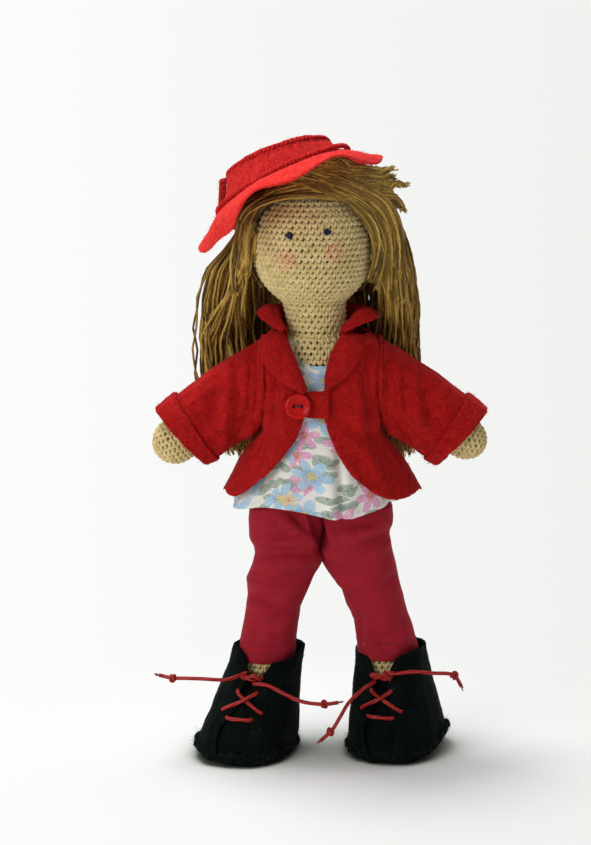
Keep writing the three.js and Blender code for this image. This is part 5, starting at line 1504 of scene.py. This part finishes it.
def make_boots():
    for side, sign in SIDES:
        place = boot_place(side)
        quarter = softened(copy_of(f"boot_quarter_{side}", "suede"), 0.72, ((2.6, 0.25), (13, 1.3)), rounds=6)
        reshape_quarter(quarter, side)
        curled(quarter, side)
        painted(quarter, SUEDE)
        join(quarter, [fuzz_on(quarter, 500, 1.0, 11, SUEDE_HAIR)])
        dress(quarter, f"leg_{side}", "black_suede", f"boot_quarter_{side}")
        cloth(quarter, 122, 47, 0.82, "folded", f"boot_sole_{side}")
        tongue = softened(copy_of(f"boot_tongue_{side}", "suede"), 0.75, ((2.6, 0.3), (9, 0.7)), rounds=3)
        co = points_of(tongue)
        co[:, 2] = np.where(co[:, 2] > 28, 28 + (co[:, 2] - 28) * 0.55, co[:, 2])
        move_points(tongue, co)
        curled(tongue, side)
        painted(tongue, SUEDE)
        dress(tongue, f"leg_{side}", "black_suede", f"boot_tongue_{side}")
        cloth(tongue, 32, 40, 0.85, "laid", f"boot_quarter_{side}")
        sole = softened(copy_of(f"boot_sole_{side}", "suede"), 0.8, ((3, 0.3), (15, 0.6)), rounds=3)
        co = points_of(sole)
        low = np.clip((2.6 - co[:, 2]) / 3, 0, 1) * 0.12
        co[:, 0] += (BOOTS[side]["sole"][0] - co[:, 0]) * low
        co[:, 1] += (BOOTS[side]["sole"][1] - co[:, 1]) * low
        move_points(sole, curl(co, side))
        painted(sole, SUEDE)
        # The seam round the sole stands out in a rough, whipped ridge
        ring = []
        for k in range(97):
            angle = TURN * k / 96
            depth = SOLE_EDGE["front"] if math.cos(angle) > 0 else SOLE_EDGE["back"]
            x = (SOLE_EDGE["half"] - 1.5) * super_sin(angle, SOLE_EDGE["square"])
            y = -(depth - 1.5) * super_cos(angle, SOLE_EDGE["square"])
            raised = 3.0 + 1.2 * abs(math.sin(angle)) ** 3 + 0.5 * math.sin(5 * angle)
            spot = place(x, y, raised)
            ring.append(Vector(curl(np.array([spot]), side)[0]))

        def away(p, middle=place(0, 0, 3)):
            return Vector((p.x - middle.x, p.y - middle.y, 0)).normalized()

        ring = [p + Vector((draw.gauss(0, 0.3), draw.gauss(0, 0.3), draw.gauss(0, 0.35))) for p in ring]
        whip = whip_stitches(ring, away, Vector((0, 0, 1)), 1.4, 0.85, "whip", SUEDE, tall=1.5, wide=0.8)
        loose = fuzz_on(whip, 1500, 2.0, 21, SUEDE_HAIR, width=0.04)
        join(sole, [whip, loose])
        dress(sole, f"leg_{side}", "black_suede", f"boot_sole_{side}")
        cloth(sole, 48, 59, 0.87, "laid", f"boot_insole_{side}")
        insole = softened(copy_of(f"boot_insole_{side}", "card"), 0.9, ((6, 0.15),), rounds=2)
        curled(insole, side)
        painted(insole, CARD)
        dress(insole, f"leg_{side}", "insole_card", f"boot_insole_{side}")


# Crochet: a ground painted dark as the shade between the stitches, with every stitch laid over it. A gauge is a
# stitch's width and a row's height
HEAD_GAUGE = (2.72, 2.42)
NECK_GAUGE = (2.75, 2.4)
HAND_GAUGE = (2.6, 2.2)
SHIN_GAUGE = (2.6, 2.3)
# How far each row starts after the one below, and the yarn's radius, as shares of a stitch's width
ROW_SHIFT = 0.62
YARN_SHARE = 0.292


def evenly_round(surface, up):
    """The angles of a ring at equal steps along its girth."""
    angles = np.linspace(0, TURN, 121)
    ring = np.array([surface(a, up) for a in angles])
    run = np.concatenate([[0], np.cumsum(np.linalg.norm(np.diff(ring, axis=0), axis=1))])
    return run[-1], lambda share: float(np.interp((share % 1) * run[-1], run, angles))


def knit_stitches(surface, starts, gauge, keep=None):
    """Rows of stitches of two legs each. surface gives a point for an angle and a distance up."""
    wide, tall = gauge
    routes, shades = [], []
    for row, up in enumerate(starts):
        girth, angle_at = evenly_round(surface, up)
        count = max(5, round(girth / wide))
        for k in range(count):
            share = (k + row * ROW_SHIFT + draw.uniform(-0.06, 0.06)) / count
            height = up + draw.uniform(-0.08, 0.08) * tall
            here = surface(angle_at(share), height)
            if keep and not keep(here):
                continue
            left_of = surface(angle_at(share - 0.5 / count), height)
            across = surface(angle_at(share + 0.5 / count), height) - left_of
            below = surface(angle_at(share), height - tall * 0.5)
            above = surface(angle_at(share), height + tall * 0.5) - below
            out = across.cross(above).normalized()
            jolt = [draw.uniform(-0.05, 0.05) for _ in range(6)]

            def at(x, y, lift, across=across, above=above, out=out, here=here):
                return here + across * x + above * y + out * lift

            left = [
                (*at(-0.60 + jolt[0], 0.40, -0.8), 0.8), (*at(-0.50 + jolt[0], 0.30, -0.05), 1),
                (*at(-0.18, 0.04 + jolt[1], 0.3), 1.12), (*at(0.10, -0.22 + jolt[2], 0.12), 1.05),
                (*at(0.2, -0.42, -0.8), 0.8),
            ]
            right = [
                (*at(0.54 + jolt[3], 0.62, -0.8), 0.8), (*at(0.45 + jolt[3], 0.46, 0.15), 1.05),
                (*at(0.3, 0.08 + jolt[4], 0.5), 1.15), (*at(0.12, -0.3 + jolt[5], 0.2), 1.05),
                (*at(0.02, -0.56, -0.8), 0.8),
            ]
            routes += [left, right]
            tone = draw.random()
            shades += [tone, min(1, tone + 0.2)]
    return threads("stitches", routes, YARN_SHARE * wide, YARN, shades=shades)


def stuffed(node, drop):
    """A stuffed form's ground, drawn in so that the stitches stand on it, and painted dark as the shade between
    them.
    """
    obj = softened(copy_of(node, "crochet"), 0.9, ((9, 0.4),), rounds=6)
    move_points(obj, points_of(obj) - normals_of(obj) * drop)
    return painted(obj, PAINTED_SHADE_GROUND)


def covered(obj, body, stitches):
    """Lays the stitches on their ground and hangs both on the body of the same name as their node."""
    dress(join(obj, [stitches]), body, "crochet_yarn", body)


def by_distance(table, reach):
    """A table of rows with the distance along the outline put first."""
    rows, run = [], 0.0
    for k, row in enumerate(table):
        if k:
            run += math.hypot(row[0] - table[k - 1][0], reach(row) - reach(table[k - 1]))
        rows.append((run, *row))
    return rows


def make_head():
    profile = by_distance(HEAD, lambda row: row[1])
    total = profile[-1][0]

    def surface(angle, up):
        z, r, cx = row_at(profile, max(0, min(total, up)))
        return Vector((cx + r * math.sin(angle), -r * math.cos(angle), z))

    def shown(p):
        behind = p.y + HAIRLINE[0] * p.z > HAIRLINE[1] + 10
        return p.z < 209 or not behind

    tall = HEAD_GAUGE[1]
    starts = [0.7 + tall * k for k in range(int((total - 14) / tall))]
    head = stuffed("head", 0.75)
    covered(head, "head", knit_stitches(surface, starts, HEAD_GAUGE, shown))


def make_body():
    chest = by_distance([row for row in TORSO if row[0] > 150], lambda row: row[2])

    def surface(angle, up):
        return trunk_point(TORSO, row_at(chest, up)[0], angle)

    torso = stuffed("torso", 0.75)
    co, out = points_of(torso), normals_of(torso)
    drawn_in = np.clip((128 - co[:, 2]) / 12, 0, 1) * 1.6
    move_points(torso, co - out * drawn_in[:, None])

    def bare(p):
        return p.z > neckline(p.x) - 1.2 if p.y < 0 else p.z > 186

    top = chest[-1][0]
    starts = [top - 0.9 - NECK_GAUGE[1] * k for k in range(11)][::-1]
    covered(torso, "torso", knit_stitches(surface, starts, NECK_GAUGE, bare))
    for side, sign in SIDES:
        start, end = Vector((sign * ARM_FROM[0], 0, ARM_FROM[1])), Vector((sign * ARM_TO[0], 0, ARM_TO[1]))
        along = (end - start).normalized()
        length = (end - start).length
        across = Vector((0, -1, 0)) * sign
        upward = along.cross(Vector((0, -1, 0)))

        def hand(angle, up, start=start, along=along, across=across, upward=upward, length=length):
            if up < length:
                reach, ahead = row_at(ARM_RADII, up / length)[0], up
            else:
                turn = min(1.5, (up - length) / HAND_R)
                reach, ahead = HAND_R * math.cos(turn), length + HAND_R * math.sin(turn)
            p = start + along * ahead + (across * math.cos(angle) + upward * math.sin(angle) * sign) * reach
            return Vector(tucked(np.array([p]))[0])

        def tucked(co, sign=sign, start=start, along=along, length=length):
            run = (co - np.array(start)) @ np.array(along)
            late = np.clip((run - length + 8) / 8, 0, 1)[:, None] * (0.9 if sign > 0 else 0.25)
            heart = np.array(start) + run[:, None] * np.array(along)
            shift = np.array([0, 0, 0.9]) - 2.4 * np.array(along)
            return heart + (co - heart) * (1 - 0.13 * late) + shift * late

        arm = stuffed(f"arm_{side}", 0.7)
        move_points(arm, tucked(points_of(arm)))
        starts = [length - 9 + HAND_GAUGE[1] * k for k in range(12)]
        covered(arm, f"arm_{side}", knit_stitches(hand, starts, HAND_GAUGE))

        rows = LEG_WEAR[side]

        def shin(angle, z, rows=rows):
            cx, cy, a, b, square = row_at(rows, max(42.5, z))
            slim = 2.2 + max(0, 42.5 - z) * 0.02
            return Vector((cx + min(a - slim, 11.2) * super_sin(angle, square),
                           cy - min(b - slim, 12) * super_cos(angle, square), z))

        leg = stuffed(f"leg_{side}", 0.7)
        co = points_of(leg)
        slim = 1 - 0.16 * np.clip((co[:, 2] - 94) / 10, 0, 1)
        heart = row_at(rows, 98)
        co[:, 0] = heart[0] + (co[:, 0] - heart[0]) * slim
        co[:, 1] = heart[1] + (co[:, 1] - heart[1]) * slim
        move_points(leg, co)
        starts = [30 + SHIN_GAUGE[1] * k for k in range(9)]
        covered(leg, f"leg_{side}", knit_stitches(shin, starts, SHIN_GAUGE))


# Eyes: a bead each, with lashes sewn outwards
def spun(name, profile, steps, place, material):
    """A turned piece from its outline as (radius, height), closed at both ends."""
    shape = bmesh.new()
    verts = [shape.verts.new((r, 0, h)) for r, h in profile]
    edges = [shape.edges.new(pair) for pair in zip(verts, verts[1:])]
    bmesh.ops.spin(shape, geom=verts + edges, cent=(0, 0, 0), axis=(0, 0, 1), angle=TURN, steps=steps,
                   use_merge=True)
    bmesh.ops.remove_doubles(shape, verts=shape.verts, dist=0.0005)
    bmesh.ops.recalc_face_normals(shape, faces=shape.faces)
    bmesh.ops.transform(shape, matrix=place, verts=shape.verts)
    bmesh.ops.scale(shape, vec=(MM,) * 3, verts=shape.verts)
    obj = painted(made_of(shape, name), material)
    smooth_faces(obj)
    return obj


def facing(spot, out):
    """A frame at a spot whose height runs outwards."""
    turned = Vector(out).to_track_quat("Z", "Y").to_matrix().to_4x4()
    turned.translation = Vector(spot)
    return turned


BEAD = [(0, -1.2), (0.75, -1.1), (1.22, -0.68), (1.42, 0), (1.28, 0.62), (0.88, 1.06), (0.46, 1.18),
        (0.24, 1.04), (0, 0.98)]


def make_eyes():
    for side, (x, z) in EYES.items():
        r, cx = row_at(HEAD, z)
        y = -math.sqrt(r * r - (x - cx) ** 2)
        out = Vector((x - cx, y, 0)).normalized()
        spot = Vector((x, y, z)) + out * 0.75
        bead = spun(f"eye_{side}_bead", BEAD, 20, facing(spot, out + Vector((0, 0, 0.2))), BEAD_BLUE)
        outer = -1 if side == "right" else 1
        across = Vector((outer, 0, 0)) - out * out.x * outer
        lashes = []
        for drop, far in ((0.25, 2.9), (-0.35, 2.7), (-0.95, 2.2)):
            start = spot + across * 0.6 + Vector((0, 0, drop * 0.6))
            tip = spot + across * far + Vector((0, 0, drop)) - out * 0.3
            lashes.append([(*(start - out * 0.6), 0.8), (*(start + out * 0.35), 1),
                           (*((start + tip) / 2 + out * 0.3), 1), (*(tip + out * 0.05), 0.9),
                           (*(tip - out * 0.9), 0.6)])
        under = [(*(spot + across * -0.7 + Vector((0, 0, -0.9)) - out * 0.5), 0.8),
                 (*(spot + across * -0.2 + Vector((0, 0, -1.3)) + out * 0.3), 1),
                 (*(spot + across * 0.7 + Vector((0, 0, -1.2)) + out * 0.3), 1),
                 (*(spot + across * 1.2 + Vector((0, 0, -0.8)) - out * 0.5), 0.8)]
        join(bead, [threads("lashes", lashes + [under], 0.4, LASH_THREAD, ring=6)])
        dress(bead, "head", "eye_bead", f"eye_{side}")


# Button
def make_button():
    seat = trunk_point(JACKET, BUTTON_AT[1], 0, BUTTON_OFF).y
    out = Vector((0, -math.cos(BUTTON_TILT), math.sin(BUTTON_TILT)))
    spot = Vector((BUTTON_AT[0], seat, BUTTON_AT[1]))
    upright = Vector((0, math.sin(BUTTON_TILT), math.cos(BUTTON_TILT)))
    button = spun("button_plastic", BUTTON_PROFILE, 64, facing(spot, out), BUTTON_RED)
    for sign in (1, -1):
        drill = bmesh.new()
        bmesh.ops.create_cone(drill, cap_ends=True, segments=24, radius1=HOLE_R, radius2=HOLE_R, depth=8,
                              matrix=facing(spot + Vector((sign * HOLE_X, 0, 0)), out))
        bmesh.ops.scale(drill, vec=(MM,) * 3, verts=drill.verts)
        tool = made_of(drill, "drill")
        modifier = button.modifiers.new("hole", "BOOLEAN")
        modifier.operation = "DIFFERENCE"
        modifier.solver = "EXACT"
        modifier.object = tool
        button = settle(button)
        bpy.data.objects.remove(tool)
    painted(button, BUTTON_RED)
    smooth_faces(button)
    dress(button, "torso", "button_plastic", "button")

    def at(x, h, drop=0.0):
        return spot + Vector((x, 0, 0)) + out * h + upright * drop

    strands = []
    for drop in (-0.22, 0.2):
        route = [at(-HOLE_X, -1.2, drop), at(-HOLE_X, 1.4, drop), at(-HOLE_X * 0.7, 2.15, drop),
                 at(0, 2.35, drop * 1.4), at(HOLE_X * 0.7, 2.15, drop), at(HOLE_X, 1.4, drop),
                 at(HOLE_X, -1.2, drop)]
        strands.append(smooth_route(route, 24))
    sewn = threads("button_thread_sewn", strands, 0.3, DARK_THREAD, ring=8)
    dress(sewn, "torso", "button_thread", "button_thread")


# Hair: how many strands each part has, and the room inside the hat's crown
CAP_STRANDS = 150
FALL_STRANDS = (("right", 235), ("left", 225), ("back", 300))
FACE_STRANDS = 52
FRINGE_STRANDS = 104
HAT_ROOM = 27.4
HAT_RIGHT, HAT_UP, HAT_FRONT = leaning(*HAT_LEAN)


def scalp(direction, lift=0.0):
    """A place on the wig's form, out from its heart."""
    d = Vector(direction).normalized()
    over = max(0.0, d.dot(HAT_UP))
    return HAIR_HEART + d * (HAIR_SIDE_R + lift) + HAT_UP * over * (HAIR_TOP_R - HAIR_SIDE_R)


def clear_of_head(p, lift):
    """Moves a point of hair out to the wig's surface if it is under it."""
    d = p - HAIR_HEART
    if d.length < 1e-6:
        return p
    least = (scalp(d, lift) - HAIR_HEART).length
    return HAIR_HEART + d.normalized() * least if d.length < least else p


def under_hat(p):
    """Draws a point of hair in from the hat's crown."""
    q = p - Vector(HAT_BASE["centre"])
    up = q.dot(HAT_UP)
    flat = q - HAT_UP * up
    room = HAT_ROOM - max(0, up) * 0.5
    if up > -2.5 and flat.length > room:
        return p - flat.normalized() * (flat.length - room)
    return p


def clear_of_face(p, lift):
    """Moves a point of hair out to the crocheted head's surface if it is under it."""
    r, cx = row_at(HEAD, min(254, max(188, p.z)))
    flat = Vector((p.x - cx, p.y, 0))
    if flat.length < r + lift and flat.length > 1e-6:
        flat = flat.normalized() * (r + lift)
        return Vector((cx + flat.x, flat.y, p.z))
    return p


def yarn_lock(name, routes, radius, fray, shades, ring=6):
    """Strands of hair, of which a share fray at the tip."""
    tips, tip_shades = [], []
    for route, tone in zip(routes, shades):
        if draw.random() < fray:
            for tail in frayed(route, 3, 0.7, 2.8):
                tips.append(tail)
                tip_shades.append(min(1, tone + 0.3))
    body = threads(name, routes, radius, HAIR, ring=ring, shades=shades)
    if tips:
        join(body, [threads("tips", tips, radius * 0.45, HAIR, ring=4, shades=tip_shades)])
    return body


def make_cap():
    """The sewn cap, set back at the hairline, under two layers of strands that run out from its crown."""
    cap = softened(copy_of("hair_cap", "yarn"), 0.9, ((3, 0.5),))
    co = points_of(cap)
    near_edge = np.clip(1 - (co[:, 1] + HAIRLINE[0] * co[:, 2] - HAIRLINE[1]) / 5, 0, 1)
    co = co - normals_of(cap) * 0.7
    co[:, 1] += 3.2 * near_edge
    move_points(cap, co)
    # The cap has no shade of its own, so it takes the darkest hair colour: painted shade between the strands
    painted(cap, HAIR)
    routes, shades = [], []
    for layer, lift in ((0, 0.15), (1, 0.9)):
        for k in range(CAP_STRANDS):
            psi = TURN * (k + 0.5 * layer + draw.uniform(-0.3, 0.3)) / CAP_STRANDS
            wander, phase = draw.uniform(0.01, 0.05), draw.uniform(0, TURN)
            route = []
            overrun = draw.uniform(2.2, 4.8)
            for step in range(18):
                theta = math.radians(30) + step * math.radians(7.2)
                turn = psi + wander * math.sin(theta * 5 + phase)
                flat = HAT_RIGHT * math.sin(turn) + HAT_FRONT * math.cos(turn)
                d = HAT_UP * math.cos(theta) + flat * math.sin(theta)
                p = scalp(d, lift + 0.3 * math.sin(theta * 4 + phase))
                ahead = p.y + HAIRLINE[0] * p.z
                if p.z < 207 or ahead < HAIRLINE[1] + overrun:
                    break
                route.append((*under_hat(p), 1))
            if len(route) > 4:
                routes.append(route)
                shades.append(draw.uniform(0, 0.6))
    join(cap, [yarn_lock("strands", routes, 0.62, fray=0, shades=shades)])
    dress(cap, "head", "hair_yarn", "hair_cap")


def fall_route(table, top_lift, spread, loose):
    """One strand: from under the hat, over the wig and down inside its fall."""
    around = draw.uniform(0, TURN)
    far = math.sqrt(draw.uniform(0.06, 1)) * spread
    drift, phase = draw.uniform(-0.6, 0.6), draw.uniform(0, TURN)
    wave, curl = draw.uniform(18, 44), draw.uniform(7, 15)
    low, high = table[0][0], table[-1][0]
    end = low + draw.uniform(0, 1) ** 2 * 16
    points = []
    steps = 24
    for k in range(steps):
        z = high + (end - high) * k / (steps - 1)
        cx, cy, a, b = row_at(table, z)
        t = k / (steps - 1)
        turn = around + drift * t
        reach = far * (1 + loose * t)
        sway = (1.1 + 1.8 * loose) * math.sin((high - z) / wave * TURN + phase)
        sway += 0.3 * math.sin((high - z) / curl * TURN)
        x = cx + a * reach * math.cos(turn) + sway * t ** 0.6
        y = cy + b * reach * math.sin(turn) + 0.8 * math.cos((high - z) / wave * TURN + phase * 2) * t
        p = clear_of_head(Vector((x, y, z)), top_lift)
        points.append(clear_of_face(p, 1.6))
    first = (points[0] - HAIR_HEART).normalized()
    roots = []
    for share in (0.62, 0.42, 0.22):
        d = first.lerp(HAT_UP, share)
        roots.append(under_hat(scalp(d, top_lift * 0.6)))
    return smooth_route(roots + points, 26), far / spread


# Fringe: the lower and upper edge of the band that sweeps over the brow
BROW_LOW = [
    (-31.5, -9, 236), (-29.6, -12.6, 240), (-22.8, -18.6, 244), (-13.7, -23.2, 247.6), (-1, -24.8, 248.6),
    (9.6, -23, 248.2), (18, -18.8, 248.6), (26, -14, 249), (32, -11, 247.4),
]
BROW_HIGH = [
    (-33.5, -6, 244), (-29, -12, 249), (-20, -18, 254.5), (-10, -21, 258.5), (0, -21, 261.5),
    (10, -18.5, 262.4), (18, -15, 261.4), (25, -11.5, 260), (30, -10, 258.6),
]
# Where its tufts end: a share up the band, the tip and how far the tips spread
TUFTS = [
    (0.14, (34.6, -8, 243.4), 0.9), (0.3, (30.4, -9.5, 247), 1.0), (0.52, (35, -8.5, 253), 0.8),
    (0.76, (29.6, -9.5, 256.4), 0.9), (1.0, (29.6, -9, 260), 0.8),
]
# The curtain on the doll's left: its inner and outer strands
CURTAIN_IN = [
    (-8, -22.5, 255), (1.6, -24.6, 251), (7.8, -23.8, 248.2), (12.6, -21.6, 244.8), (17, -18.8, 240.2),
    (20.2, -16.6, 234.6), (22, -14.8, 228), (21.6, -12.6, 220.6), (19.4, -10.4, 213),
]
CURTAIN_OUT = [
    (-4, -20.5, 260), (7, -21.4, 257.6), (17, -18.6, 253.6), (25, -15, 250), (31, -11, 243.5),
    (34.4, -8, 234), (35.6, -5.4, 223), (36, -3, 211), (36.6, -0.5, 199),
]
# The strands beside the face on the doll's right
TEMPLE_IN = [
    (-18.4, -19, 251), (-24, -16.6, 243.4), (-27.6, -14.4, 236), (-29.2, -11.8, 227), (-29.2, -8.4, 216),
]
TEMPLE_OUT = [(-34, -9, 246), (-36.4, -8, 238), (-38, -6.6, 228), (-39, -4.6, 216), (-40.4, -2, 203)]


def band_point(low, high, t, share):
    """A point between two edges of a band, at a share of its length and of its width."""
    place = t * (len(low) - 1)
    k = min(len(low) - 2, int(place))
    rest = place - k
    a = Vector(low[k]).lerp(Vector(low[k + 1]), rest)
    b = Vector(high[k]).lerp(Vector(high[k + 1]), rest)
    return a.lerp(b, share)


def make_falls():
    for side, count in FALL_STRANDS:
        routes, shades = [], []
        sign = {"right": 1, "left": -1, "back": 0}[side]
        # Some strands fill in towards the neck, and are painted dark as the hair's shade there
        inner = [(z, cx + sign * 8, cy + 5, a * 0.8, b * 0.8) for z, cx, cy, a, b in FALLS[side] if z < 226]
        for k in range(count):
            outer, deep = k % 11 == 0, sign and k % 5 == 1
            far = (1.1 if sign < 0 else 1.25) if outer else 1.0
            table = inner if deep else FALLS[side]
            route, share = fall_route(table, draw.uniform(0.5, 2.4), far, 0.14 if outer else 0.03)
            routes.append(route)
            # Strands deep inside a fall are painted darker than those at its outside: painted shade
            bright = share ** 1.4 * draw.uniform(0.45, 1)
            shades.append(0.1 * draw.random() if deep else draw.uniform(0.5, 1) if outer else bright)
        if sign:
            low, high = (TEMPLE_IN, TEMPLE_OUT) if sign > 0 else (CURTAIN_IN, CURTAIN_OUT)
            first = 0.04 if sign > 0 else 0.18
            for k in range(FACE_STRANDS):
                share = (k / FACE_STRANDS) ** 0.8
                top = [band_point(low, high, first + (0.8 - first) * j / 6, share) for j in range(7)]
                lift = draw.uniform(0, 1.2)
                top = [clear_of_face(clear_of_head(p, 0.2 + lift * j / 6), 0.8 + lift)
                       for j, p in enumerate(top)]
                route, _ = fall_route(FALLS[side], 0.5, 1.0, 0.1)
                last = top[-1]
                rest = []
                for p in (Vector(p) for p in route if p[2] < last.z - 7):
                    x, y, _ = last.lerp(p, min(1, (last.z - p.z) / 36))
                    rest.append(Vector((x, y, p.z)))
                routes.append(smooth_route(top + rest[:-2:3] + rest[-1:], 30))
                shades.append(draw.uniform(0.25, 1))
        fall = yarn_lock(f"hair_fall_{side}_yarn", routes, 0.54 if sign else 0.62, fray=0.45, shades=shades,
                         ring=6 if sign else 4)
        dress(fall, ("head", "torso", *NECK_BLEND), "hair_yarn", f"hair_fall_{side}")


def make_fringe():
    routes, shades = [], []
    for k in range(FRINGE_STRANDS):
        depth = draw.uniform(0, 1)
        final = draw.uniform(0, 1)
        if k % 5 < 2:
            start, first = 0.0, draw.uniform(0, 1)
        else:
            start, first = draw.uniform(0.06, 0.58), 1.3
        stop = draw.uniform(0.84, 0.95)
        phase = draw.uniform(0, TURN)
        points = []
        for j in range(9):
            t = start + (stop - start) * j / 8
            fade = min(1, j / 8 * 1.5)
            share = first + (final - first) * fade * fade * (3 - 2 * fade) + 0.05 * math.sin(7 * t + phase)
            p = band_point(BROW_LOW, BROW_HIGH, t, share)
            lift = 0.2 + 2.4 * depth + 0.45 * math.sin(11 * t + phase)
            points.append(clear_of_head(clear_of_face(p, 0.8 + lift), lift))
        _, tip, spread = min(TUFTS, key=lambda tuft: abs(tuft[0] - 0.1 - final + draw.uniform(-0.08, 0.08)))
        tip = Vector(tip) + Vector([draw.gauss(0, 0.5 * spread) for _ in range(3)])
        tip.x -= draw.uniform(0, 1) ** 4 * 8
        droop = Vector((0, 0, 0.8 + 1.5 * (final < 0.4)))
        points.append(points[-1].lerp(tip, 0.6) + droop)
        points.append(tip)
        routes.append(smooth_route(points, 26))
        # Strands that lie lower, nearer the head, are painted darker: painted shade over a random tone
        shades.append(draw.random() * (0.3 + 0.7 * depth) + 0.12 * depth)
    for low, high, count in ((CURTAIN_IN, CURTAIN_OUT, 84), (TEMPLE_IN, TEMPLE_OUT, 34)):
        for k in range(count):
            share = (k / count) ** 0.9
            stop = 1 - 0.5 * draw.random() ** 1.6
            phase = draw.uniform(0, TURN)
            lift = draw.uniform(0, 1)
            sway = draw.uniform(0.5, 2.2)
            points = []
            for j in range(10):
                t = stop * j / 9
                p = band_point(low, high, t, share)
                p += Vector((sway * math.sin(7 * t + phase) * t, -lift * t, 0.5 * math.sin(5 * t + phase) * t))
                early = max(0, 1 - 4 * t)
                p = clear_of_face(p, 0.7 + lift * (1 - early))
                points.append(clear_of_head(p, 0.1 + lift * (1 - early)) if t < 0.5 else p)
            routes.append(smooth_route(points, 26))
            # Strands that lie lower, nearer the face, are painted darker: painted shade over a random tone
            shades.append(draw.random() * (0.35 + 0.65 * lift) + 0.1 * lift)
    fringe = yarn_lock("hair_fringe_yarn", routes, 0.6, fray=0.7, shades=shades)
    dress(fringe, "head", "hair_yarn", "hair_fringe")


# Floor, backdrop and light. Each lamp has a place and size in metres, and a power
SOFT_LIGHT = 0.26
LAMPS = [
    ("key", (-0.35, 0.3, 1.6), 0.55, 20),
    ("fill", (-1.3, -1.3, 0.85), 1.0, 15),
    ("rim", (0.9, 0.7, 1.1), 0.8, 3),
]
LAMP_AIM = Vector((0, 0, 0.15))


def make_stage():
    shape = bmesh.new()
    bmesh.ops.create_circle(shape, cap_ends=True, segments=96, radius=3)
    edges = [e for e in shape.edges]
    for out, up in ((0.3, 0.08), (0.16, 0.25), (0.04, 0.4), (0, 1.5)):
        ring = bmesh.ops.extrude_edge_only(shape, edges=edges)["geom"]
        for vert in (g for g in ring if isinstance(g, bmesh.types.BMVert)):
            flat = Vector((vert.co.x, vert.co.y, 0))
            vert.co += flat.normalized() * out + Vector((0, 0, up))
        edges = [g for g in ring if isinstance(g, bmesh.types.BMEdge)]
    floor = made_of(shape, "floor")
    f = Finish("paper", Roughness=1.0)
    x, y = f.parts(f.where())[0:2]
    aside = f.math("DIVIDE", x, f.math("MULTIPLY_ADD", f.math("MAXIMUM", y, -0.4), 0.9, 1.0))
    away = f.node("VectorMath", {0: f.where()}, operation="LENGTH").outputs["Value"]
    # The glow is painted darker towards the right, where the light falls off: painted shade
    glow = f.ramp(f.math("MULTIPLY_ADD", aside, -2.2, 0.5, clamp=True),
                  [(0.12, paint(239, 240, 237)), (0.5, paint(245, 246, 244)), (0.85, paint(253, 253, 253))])
    light = f.node("Emission", {"Color": glow, "Strength": 1.0}).outputs[0]
    # The floor's own colour darkens where the boots hem it in: a painted contact shadow
    open_sky = f.node("AmbientOcclusion", {"Distance": 0.034}, samples=8).outputs["AO"]
    open_sky = f.math("MAXIMUM", open_sky, f.step(away, 0.1, 0.2))
    f.set("Base Color", f.ramp(open_sky, [(0.3, paint(84, 90, 78)), (0.62, paint(190, 194, 186)),
                                          (0.9, paint(238, 238, 237))]))
    share = f.math("MULTIPLY_ADD", f.step(away, 0.04, 0.19), 0.85, 0.15)
    share = f.math("MULTIPLY", share, f.step(open_sky, 0.3, 0.95))
    share = f.math("MULTIPLY", seen_directly(f.tree), share)
    both = f.node("MixShader", {0: share, 1: f.shader.outputs[0], 2: light}).outputs[0]
    f.tree.links.new(both, f.tree.nodes["Material Output"].inputs["Surface"])
    painted(floor, f.material)

    world = bpy.data.worlds.new("world")
    bpy.context.scene.world = world
    world.use_nodes = True
    tree = world.node_tree
    soft = tree.nodes["Background"]
    soft.inputs["Color"].default_value = (1, 1, 1, 1)
    soft.inputs["Strength"].default_value = SOFT_LIGHT
    white = add_node(tree, "Background", {"Strength": 1.0})
    both = add_node(tree, "MixShader", {0: seen_directly(tree), 1: soft.outputs[0], 2: white.outputs[0]})
    tree.links.new(both.outputs[0], tree.nodes["World Output"].inputs["Surface"])

    for name, spot, size, power in LAMPS:
        data = bpy.data.lights.new(name, "AREA")
        data.size = size
        data.energy = power
        lamp = linked(name, data)
        lamp.location = spot
        lamp.rotation_euler = (LAMP_AIM - Vector(spot)).to_track_quat("-Z", "Y").to_euler()


# The order stays as it is, because every random draw follows on from the last
set_camera()
for side, sign in SIDES:
    make_laces(side, sign)
make_hat()
make_jacket()
make_sleeves()
make_blouse()
make_trousers()
make_boots()
make_head()
make_body()
make_eyes()
make_button()
make_cap()
make_falls()
make_fringe()
make_stage()
bpy.context.scene.view_settings.view_transform = "Standard"
